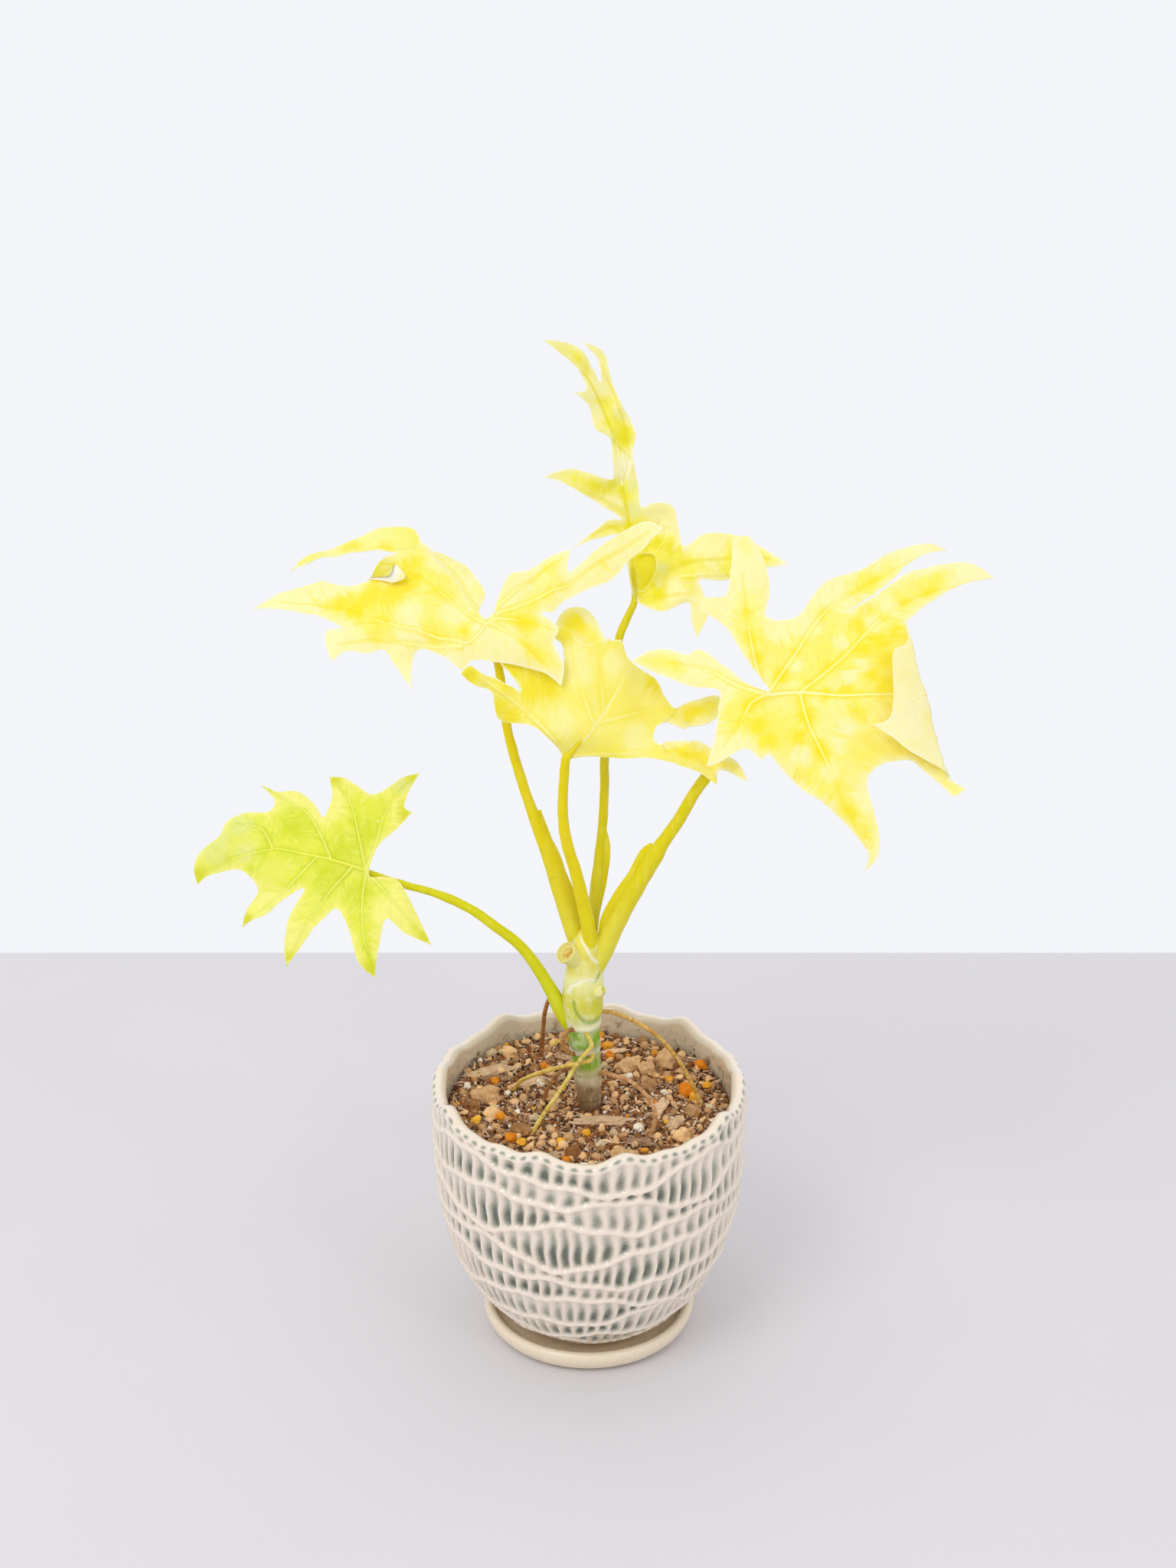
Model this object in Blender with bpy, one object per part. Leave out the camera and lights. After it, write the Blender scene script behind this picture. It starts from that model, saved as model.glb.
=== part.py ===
"""A young golden philodendron in a carved ceramic pot that stands on its saucer.

The pot's axis is +Z, the table it stands on is z = 0, and -Y is the front.
Constants and lists of points are in millimetres, meshes are in metres.
"""
import math
import random

import bmesh
import bpy
import numpy as np
from mathutils import Vector
from mathutils.geometry import delaunay_2d_cdt

MM = 0.001
GAP = 0.3
HOLE_GAP = 0.4
TIP = "tip"

RIM_HEIGHT = 103.0
FOOT_HEIGHT = 4.0
FOOT_RADIUS = 23.5
RIM_RADIUS = 57.5
WALL = 5.5
FLOOR_TOP = 10.0
DRAIN_RADIUS = 6.0
FLUTES = 48
FLUTE_DEPTH = 1.5
BAND_RIDGES = (7.0, 13.5, 21.0, 30.0, 40.0, 51.0, 62.0, 73.0, 84.0, 94.0)
INNER_HEIGHTS = (99.0, 88.0, 72.0, 54.0, 36.0, 22.0, FLOOR_TOP)

SAUCER_COLUMNS = 48
SAUCER_PROFILE = (
    (34.0, 0.0), (37.2, 1.3), (39.4, 4.2), (40.2, 7.4), (39.3, 9.0),
    (37.6, 9.2), (36.2, 8.0), (35.3, 5.6), (33.2, 3.7),
)

SOIL_HEIGHT = 94.0
SOIL_EDGE_HEIGHT = 92.0
SOIL_COLUMNS = 28
SOIL_SPACING = 6.6

BLADE_THICKNESS = 0.7
EDGE_STEP = 4.5
INSIDE_STEP = 7.5


def material(name, colour, roughness, metallic=0.0):
    """A plain coat of one colour."""
    coat = bpy.data.materials.new(name)
    coat.use_nodes = True
    shader = coat.node_tree.nodes["Principled BSDF"]
    shader.inputs["Base Color"].default_value = (*colour, 1.0)
    shader.inputs["Roughness"].default_value = roughness
    shader.inputs["Metallic"].default_value = metallic
    coat.diffuse_color = (*colour, 1.0)
    return coat


def add_object(name, vertices, faces, coat=None):
    """Make one mesh object from millimetre points, in triangles, with its faces pointing out."""
    bm = bmesh.new()
    corners = [bm.verts.new(Vector(point) * MM) for point in vertices]
    for face in faces:
        bm.faces.new([corners[index] for index in face])
    bmesh.ops.recalc_face_normals(bm, faces=bm.faces)
    bmesh.ops.triangulate(bm, faces=bm.faces)
    mesh = bpy.data.meshes.new(name)
    bm.to_mesh(mesh)
    bm.free()
    thing = bpy.data.objects.new(name, mesh)
    bpy.context.collection.objects.link(thing)
    if coat:
        mesh.materials.append(coat)
    return thing


def remove(thing):
    bpy.data.objects.remove(thing, do_unlink=True)


def boolean(thing, others, operation):
    """Join the other objects to a thing, or cut them out of it, and drop them."""
    group = bpy.data.collections.new("others")
    for other in others:
        group.objects.link(other)
    step = thing.modifiers.new("boolean", "BOOLEAN")
    step.operation = operation
    step.operand_type = "COLLECTION"
    step.collection = group
    step.solver = "EXACT"
    bpy.context.view_layer.update()
    graph = bpy.context.evaluated_depsgraph_get()
    mesh = bpy.data.meshes.new_from_object(thing.evaluated_get(graph))
    thing.modifiers.clear()
    thing.data = mesh
    for other in others:
        remove(other)
    bpy.data.collections.remove(group)


def keep_largest(thing):
    """Drop the loose scraps that a cut leaves, and weld doubled points."""
    bm = bmesh.new()
    bm.from_mesh(thing.data)
    bmesh.ops.remove_doubles(bm, verts=bm.verts, dist=0.00001)
    unseen = set(bm.verts)
    bodies = []
    while unseen:
        body = set()
        waiting = [unseen.pop()]
        while waiting:
            corner = waiting.pop()
            body.add(corner)
            for side in corner.link_edges:
                other = side.other_vert(corner)
                if other in unseen:
                    unseen.discard(other)
                    waiting.append(other)
        bodies.append(body)
    bodies.sort(key=len)
    for body in bodies[:-1]:
        bmesh.ops.delete(bm, geom=list(body), context="VERTS")
    bmesh.ops.triangulate(bm, faces=bm.faces)
    bm.to_mesh(thing.data)
    bm.free()


def shade(thing, angle=35.0):
    thing.data.shade_smooth()
    thing.data.set_sharp_from_angle(angle=math.radians(angle))


def turn(rings, columns, bottom=None, top=None):
    """Points and faces of rings stacked one on the next; bottom and top close them with a point."""
    points = [point for ring in rings for point in ring]
    faces = []
    for row in range(len(rings) - 1):
        for column in range(columns):
            after = (column + 1) % columns
            low, high = row * columns, (row + 1) * columns
            faces.append((low + column, low + after, high + after, high + column))
    if bottom:
        faces += [(len(points), (column + 1) % columns, column) for column in range(columns)]
        points.append(bottom)
    if top:
        last = (len(rings) - 1) * columns
        faces += [(len(points), last + column, last + (column + 1) % columns)
                  for column in range(columns)]
        points.append(top)
    return points, faces


def circle(radius, height, columns):
    """One level ring of points round the axis."""
    return [
        (radius * math.cos(2 * math.pi * column / columns),
         radius * math.sin(2 * math.pi * column / columns), height)
        for column in range(columns)
    ]


def catmull(before, start, end, after, share):
    """A point a share of the way along the smooth curve from start to end."""
    square, cube = share ** 2, share ** 3
    return 0.5 * (
        2 * start + (end - before) * share
        + (2 * before - 5 * start + 4 * end - after) * square
        + (3 * start - before - 3 * end + after) * cube
    )


def smooth_path(stations, step):
    """Points about a step apart on the smooth curve through stations of (x, y, z, radius)."""
    stations = [np.array(station, float) for station in stations]
    ends = [2 * stations[0] - stations[1], *stations, 2 * stations[-1] - stations[-2]]
    path = []
    for before, start, end, after in zip(ends, ends[1:], ends[2:], ends[3:]):
        pieces = max(1, round(np.linalg.norm((end - start)[:3]) / step))
        path += [catmull(before, start, end, after, piece / pieces) for piece in range(pieces)]
    path.append(stations[-1])
    return path


def tube(name, stations, sides, step, coat=None, grow=0.0):
    """A round stalk along stations of (x, y, z, radius), with blunt ends."""
    path = smooth_path(stations, step)
    centres = [Vector(station[:3]) for station in path]
    radii = [station[3] + grow for station in path]
    rings = []
    side = None
    for index, (centre, radius) in enumerate(zip(centres, radii)):
        ahead = centres[min(index + 1, len(centres) - 1)] - centres[max(index - 1, 0)]
        ahead.normalize()
        if side is None:
            side = ahead.cross(Vector((0.3, 1.0, 0.2))).normalized()
        side = (side - ahead * side.dot(ahead)).normalized()
        across = ahead.cross(side)
        shift = Vector()
        if index == 0:
            shift = -ahead * grow
        elif index == len(centres) - 1:
            shift = ahead * grow
        ring = []
        for corner in range(sides):
            angle = 2 * math.pi * corner / sides
            spoke = side * math.cos(angle) + across * math.sin(angle)
            ring.append(tuple(centre + shift + spoke * radius))
        rings.append(ring)
    first = (centres[0] - centres[1]).normalized() * (radii[0] * 0.35 + grow)
    last = (centres[-1] - centres[-2]).normalized() * (radii[-1] * 0.35 + grow)
    points, faces = turn(rings, sides, tuple(centres[0] + first), tuple(centres[-1] + last))
    return add_object(name, points, faces, coat)


def pot_radius(height):
    """The egg-shaped outer wall: nearly upright at the rim, round at the foot."""
    share = (height - FOOT_HEIGHT) / (RIM_HEIGHT - FOOT_HEIGHT)
    share = min(max(share, 0.0), 1.0)
    return FOOT_RADIUS + (RIM_RADIUS - FOOT_RADIUS) * (1 - (1 - share) ** 3.66) ** 0.8


def ridge_height(band, angle):
    """Height of a band's lower ridge, which wanders up and down round the pot."""
    sway = min(2.4, 0.12 * BAND_RIDGES[band] + 0.3)
    wave = math.sin(3 * angle + 1.7 * band) + 0.6 * math.sin(7 * angle + 2.9 * band)
    return BAND_RIDGES[band] + sway * wave * 0.62


def rim_lift(angle):
    """The hand-pinched rim rises and dips."""
    return (1.2 * math.sin(9 * angle + 0.4) + 0.8 * math.sin(14 * angle + 2.0)
            + 0.5 * math.sin(23 * angle + 1.1))


def make_pot(coat):
    """One turned wall with a drain hole, gouged in bands of upright flutes."""
    columns = 2 * FLUTES
    angles = [2 * math.pi * column / columns for column in range(columns)]

    def outer(height, angle, depth):
        radius = pot_radius(height) - depth
        return radius * math.cos(angle), radius * math.sin(angle), height

    rings = [[outer(FOOT_HEIGHT, angle, 0.0) for angle in angles]]
    for band in range(len(BAND_RIDGES)):
        ridge, gouge = [], []
        for column, angle in enumerate(angles):
            low = ridge_height(band, angle)
            if band + 1 < len(BAND_RIDGES):
                high = ridge_height(band + 1, angle)
            else:
                high = RIM_HEIGHT - 2.5 + rim_lift(angle)
            groove = (column + band) % 2
            ridge.append(outer(low, angle, 0.0))
            share = 0.32 if groove else 0.2
            depth = FLUTE_DEPTH * (1.0 if groove else 0.1)
            gouge.append(outer(low + share * (high - low), angle, depth))
        rings += [ridge, gouge]
    rings.append([outer(RIM_HEIGHT - 2.2 + rim_lift(angle), angle, 0.0) for angle in angles])
    crest = RIM_HEIGHT - 0.2
    rings.append([
        ((RIM_RADIUS - 1.4) * math.cos(angle), (RIM_RADIUS - 1.4) * math.sin(angle),
         crest + rim_lift(angle))
        for angle in angles
    ])
    points, faces = turn(rings, columns)

    inner_angles = angles[::2]
    inside = [[
        ((RIM_RADIUS - 4.4) * math.cos(angle), (RIM_RADIUS - 4.4) * math.sin(angle),
         crest + rim_lift(angle))
        for angle in inner_angles
    ]]
    inside += [circle(pot_inner_radius(height), height, FLUTES) for height in INNER_HEIGHTS]
    inside.append(circle(DRAIN_RADIUS, FLOOR_TOP, FLUTES))
    inside.append(circle(DRAIN_RADIUS, FOOT_HEIGHT, FLUTES))
    inside_points, inside_faces = turn(inside, FLUTES)
    base = len(points)
    last = base - columns
    points += inside_points
    faces += [tuple(base + index for index in face) for face in inside_faces]
    bottom = base + (len(inside) - 1) * FLUTES
    for flute in range(FLUTES):
        after = (flute + 1) % FLUTES
        middle, end = 2 * flute + 1, (2 * flute + 2) % columns
        faces.append((last + 2 * flute, last + middle, last + end, base + after, base + flute))
        faces.append((end, middle, 2 * flute, bottom + flute, bottom + after))
    pot = add_object("pot", points, faces, coat)
    shade(pot, 60.0)
    return pot


def pot_inner_radius(height):
    """The inner wall follows the outer one, straight between its turned heights."""
    knots = sorted(INNER_HEIGHTS)
    radii = [pot_radius(knot) - WALL - (4.0 if knot == FLOOR_TOP else 0.0) for knot in knots]
    return float(np.interp(height, knots, radii))


def make_saucer(coat):
    """A shallow turned dish with a rolled lip and a flat underside."""
    rings = [circle(radius, height, SAUCER_COLUMNS) for radius, height in SAUCER_PROFILE]
    top = SAUCER_PROFILE[-1][1]
    points, faces = turn(rings, SAUCER_COLUMNS, top=(0.0, 0.0, top))
    faces.append(tuple(reversed(range(SAUCER_COLUMNS))))
    saucer = add_object("saucer", points, faces, coat)
    shade(saucer, 40.0)
    return saucer


def soil_top(x, y):
    """Gentle mounds, a little higher round the stem."""
    mound = 1.2 * math.sin(x / 13.0 + 0.6) * math.cos(y / 15.0)
    return SOIL_HEIGHT + mound + 1.2 * math.exp(-(x * x + y * y) / 300.0)


LARGE_LUMPS = (
    (-39.0, 20.0, (17.0, 5.0, 2.2), 0.35), (5.0, -16.0, (22.0, 4.2, 2.0), 0.1),
    (15.0, 22.0, (9.0, 6.0, 6.0), 0.2), (29.0, 26.0, (6.5, 6.5, 6.5), 0.9),
    (-38.0, 3.0, (11.0, 6.5, 6.5), 2.9), (-35.0, -9.0, (7.0, 5.0, 4.0), 0.6),
    (36.0, 30.0, (9.0, 3.5, 2.5), 2.4), (27.0, -6.0, (10.0, 4.5, 2.4), 1.2),
    (-20.0, 14.0, (13.0, 4.5, 2.6), 0.5), (33.0, -25.0, (7.0, 5.0, 4.5), 0.3),
    (-24.0, -22.0, (8.0, 6.0, 4.0), 2.2), (12.0, -36.0, (9.0, 6.0, 3.5), 0.2),
)
SMALL_LUMPS = 18


def lump(centre, size, heading, draw):
    """A rough stone or bark chip: a ball of 20 faces, squashed, turned and knocked about."""
    bm = bmesh.new()
    bmesh.ops.create_icosphere(bm, subdivisions=1, radius=0.5)
    points = []
    for corner in bm.verts:
        knock = draw.uniform(0.85, 1.15)
        x, y, z = (corner.co[axis] * size[axis] * knock for axis in range(3))
        points.append((
            centre[0] + x * math.cos(heading) - y * math.sin(heading),
            centre[1] + x * math.sin(heading) + y * math.cos(heading),
            centre[2] + z,
        ))
    faces = [tuple(corner.index for corner in face.verts) for face in bm.faces]
    bm.free()
    return add_object("lump", points, faces)


def make_soil(coat, plant):
    """Potting mix that fills the pot: bark chips and stones stand out of a lumpy top."""
    draw = random.Random(11)
    heights = [FLOOR_TOP + GAP, *sorted(INNER_HEIGHTS)[1:-1], SOIL_EDGE_HEIGHT]
    rings = [
        circle(pot_inner_radius(height) - HOLE_GAP, height, SOIL_COLUMNS) for height in heights
    ]
    points, faces = turn(rings, SOIL_COLUMNS)
    faces.append(tuple(reversed(range(SOIL_COLUMNS))))
    edge = len(points) - SOIL_COLUMNS
    flat = [Vector(point[:2]) for point in points[edge:]]
    reach = pot_inner_radius(SOIL_EDGE_HEIGHT) - 3.5
    rows = int(reach / SOIL_SPACING) + 1
    for row in range(-rows, rows + 1):
        for column in range(-rows, rows + 1):
            x = (column + 0.5 * (row % 2) + draw.uniform(-0.25, 0.25)) * SOIL_SPACING
            y = (row + draw.uniform(-0.25, 0.25)) * SOIL_SPACING * 0.87
            if math.hypot(x, y) < reach:
                flat.append(Vector((x, y)))
    result = delaunay_2d_cdt(flat, [], [list(range(SOIL_COLUMNS))], 1, 1e-4)
    for corner in result[0][SOIL_COLUMNS:]:
        points.append((corner.x, corner.y, soil_top(*corner) + draw.uniform(-0.8, 0.8)))
    faces += [tuple(edge + index for index in face) for face in result[2]]
    soil = add_object("soil", points, faces, coat)
    lumps = []
    for x, y, size, heading in LARGE_LUMPS:
        centre = (x, y, soil_top(x, y) + size[2] * 0.22)
        lumps.append(lump(centre, size, heading, draw))
    while len(lumps) < len(LARGE_LUMPS) + SMALL_LUMPS:
        angle, radius = draw.uniform(0, 2 * math.pi), 46.0 * math.sqrt(draw.uniform(0.06, 1))
        x, y = radius * math.cos(angle), radius * math.sin(angle)
        size = (draw.uniform(3.5, 7.0), draw.uniform(3.0, 4.5), draw.uniform(3.0, 4.5))
        centre = (x, y, soil_top(x, y) + size[2] * 0.15)
        lumps.append(lump(centre, size, draw.uniform(0, math.pi), draw))
    boolean(soil, lumps, "UNION")
    holes = [tube("hole", stations, sides, step, grow=HOLE_GAP)
             for stations, sides, step in plant]
    boolean(soil, holes, "DIFFERENCE")
    keep_largest(soil)
    return soil


STEM = (
    (0.7, -6.0, 72.0, 3.6), (0.6, -6.0, 93.0, 4.2), (0.2, -5.6, 100.0, 5.0),
    (-0.3, -5.0, 106.0, 5.6), (-1.4, -4.2, 119.0, 5.6), (-1.9, -3.8, 127.0, 6.0),
    (-2.2, -3.4, 134.0, 7.3), (-2.0, -3.0, 141.0, 7.5), (-1.8, -2.2, 147.0, 6.9),
    (-1.4, -1.2, 156.0, 5.6), (-0.8, -0.4, 163.0, 3.8), (-0.6, 0.0, 168.0, 1.6),
)
STEM_SIDES = 12
CUT_STUB = ((-2.6, -1.6, 149.0, 3.2), (-6.0, -3.0, 154.0, 3.6), (-8.8, -4.0, 158.0, 3.7))
TORN_STUB = ((0.8, -4.4, 142.0, 3.0), (3.6, -7.4, 144.0, 2.4), (5.2, -8.8, 145.5, 1.2))

PETIOLES = {
    "low_left": (
        (-4.5, -3.2, 125.0, 2.4), (-9.5, -3.0, 133.0, 2.5), (-14.0, -2.0, 142.0, 2.3),
        (-19.0, -1.0, 151.0, 2.1), (-25.0, 0.0, 159.0, 1.9), (-33.0, 0.0, 166.0, 1.8),
        (-41.0, 1.0, 172.0, 1.7), (-49.0, 2.0, 176.0, 1.6), (-57.0, 2.5, 179.0, 1.4),
        (-66.0, 4.0, 181.0, 1.3), (-73.0, 5.0, 183.0, 1.2), (-77.8, 4.2, 185.2, 1.2),
    ),
    "upper_left": (
        (-2.5, 0.5, 154.0, 3.0), (-5.0, 1.0, 162.0, 3.6), (-9.5, 1.6, 179.0, 3.6),
        (-13.0, 2.2, 192.0, 3.3), (-16.5, 2.8, 201.0, 2.6), (-20.5, 3.3, 212.0, 1.9),
        (-23.0, 4.0, 220.0, 1.8), (-26.0, 4.4, 231.0, 1.7), (-28.2, 5.0, 241.0, 1.6),
        (-30.2, 6.0, 258.0, 1.5), (-31.4, 6.6, 266.0, 1.5), (-33.6, 6.4, 276.6, 1.4),
    ),
    "centre": (
        (0.5, -4.0, 158.0, 2.4), (-0.2, -4.6, 168.0, 2.5), (-2.0, -5.2, 178.0, 2.4),
        (-4.6, -6.4, 191.0, 2.2), (-7.7, -7.6, 203.0, 2.0), (-9.0, -8.7, 215.0, 1.8),
        (-8.6, -10.0, 227.0, 1.7), (-8.0, -11.6, 234.9, 1.6),
    ),
    "right": (
        (2.0, -1.0, 150.0, 3.4), (5.0, -1.6, 158.0, 4.0), (10.0, -2.2, 170.0, 3.6),
        (18.0, -4.2, 187.0, 3.2), (23.0, -5.8, 197.0, 3.0), (26.0, -6.8, 203.0, 2.4),
        (31.0, -8.4, 212.0, 2.2), (36.0, -10.6, 223.0, 2.0), (41.0, -13.0, 232.0, 2.0),
        (49.0, -15.6, 245.0, 1.9), (55.0, -17.4, 256.0, 1.7), (58.2, -18.2, 260.8, 1.6),
    ),
    "top": (
        (1.0, 3.4, 158.0, 1.9), (2.0, 4.6, 173.0, 2.2), (3.5, 6.0, 188.0, 2.0),
        (4.6, 7.4, 199.0, 1.7), (5.4, 9.0, 213.0, 1.6), (5.6, 10.2, 229.0, 1.6),
        (7.0, 11.6, 247.0, 1.5), (10.0, 13.2, 269.0, 1.4), (12.6, 14.8, 276.5, 1.3),
        (15.4, 16.0, 282.4, 1.2),
    ),
}
PETIOLE_SIDES = 8

ROOT_RADIUS = 0.8
ROOTS = {
    "back_left": (
        (-6.0, 0.0, 131.0), (-10.0, 3.5, 134.2), (-13.1, 6.0, 134.6), (-15.1, 10.0, 129.5),
        (-16.4, 16.0, 121.0), (-17.0, 24.0, 111.0), (-17.7, 32.0, 99.0), (-18.0, 34.0, 90.0),
    ),
    "right_long": (
        (1.0, -1.0, 131.5), (6.5, 1.0, 131.0), (11.4, 2.0, 129.0), (18.3, 2.0, 125.4),
        (24.2, 1.0, 121.5), (29.0, 1.0, 116.0), (33.5, 0.0, 110.0), (36.4, -1.0, 104.6),
        (39.2, -2.0, 99.0), (40.6, -3.0, 93.5), (41.0, -3.4, 88.5),
    ),
    "front_long": (
        (-1.5, -6.0, 128.5), (-0.4, -10.5, 127.4), (1.0, -12.6, 124.6), (-2.0, -14.2, 121.4),
        (-5.0, -15.6, 117.5), (-8.0, -17.4, 112.8), (-12.5, -19.6, 106.6), (-17.6, -22.0, 99.4),
        (-21.0, -24.0, 94.0), (-23.0, -25.2, 88.5),
    ),
    "front_left": (
        (1.6, -7.6, 118.6), (0.6, -11.8, 118.2), (-3.6, -13.0, 117.6), (-8.4, -12.0, 116.0),
        (-12.5, -9.6, 113.4), (-17.3, -5.0, 109.0), (-21.6, 0.0, 104.3), (-25.1, 5.0, 99.4),
        (-27.2, 8.6, 94.5), (-28.2, 10.4, 89.0),
    ),
    "left_short": (
        (-2.5, -6.5, 113.5), (-7.4, -8.8, 113.0), (-10.4, -7.8, 110.8), (-12.8, -6.0, 106.7),
        (-15.1, -3.0, 100.9), (-16.3, 0.0, 94.6), (-16.8, 1.0, 89.5),
    ),
    "right_front": (
        (1.5, -6.0, 109.4), (6.4, -8.4, 110.4), (10.4, -10.2, 110.4), (14.4, -12.0, 109.8),
        (18.2, -15.0, 108.4), (21.7, -18.0, 105.7), (23.8, -21.0, 101.8), (23.3, -23.0, 97.3),
        (21.7, -24.0, 93.0), (21.0, -24.4, 88.5),
    ),
    "loop": (
        (-4.2, -7.0, 128.0), (-6.2, -9.4, 129.4), (-8.2, -11.0, 129.2), (-9.4, -11.6, 126.0),
        (-8.4, -11.0, 122.0), (-6.6, -9.4, 119.6), (-4.2, -7.4, 118.4),
    ),
    "stub": ((-4.0, -4.6, 123.0), (-8.4, -5.6, 123.4), (-10.8, -6.0, 122.8), (-13.4, -6.4, 121.6)),
}
ROOT_SIDES = 6

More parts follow.
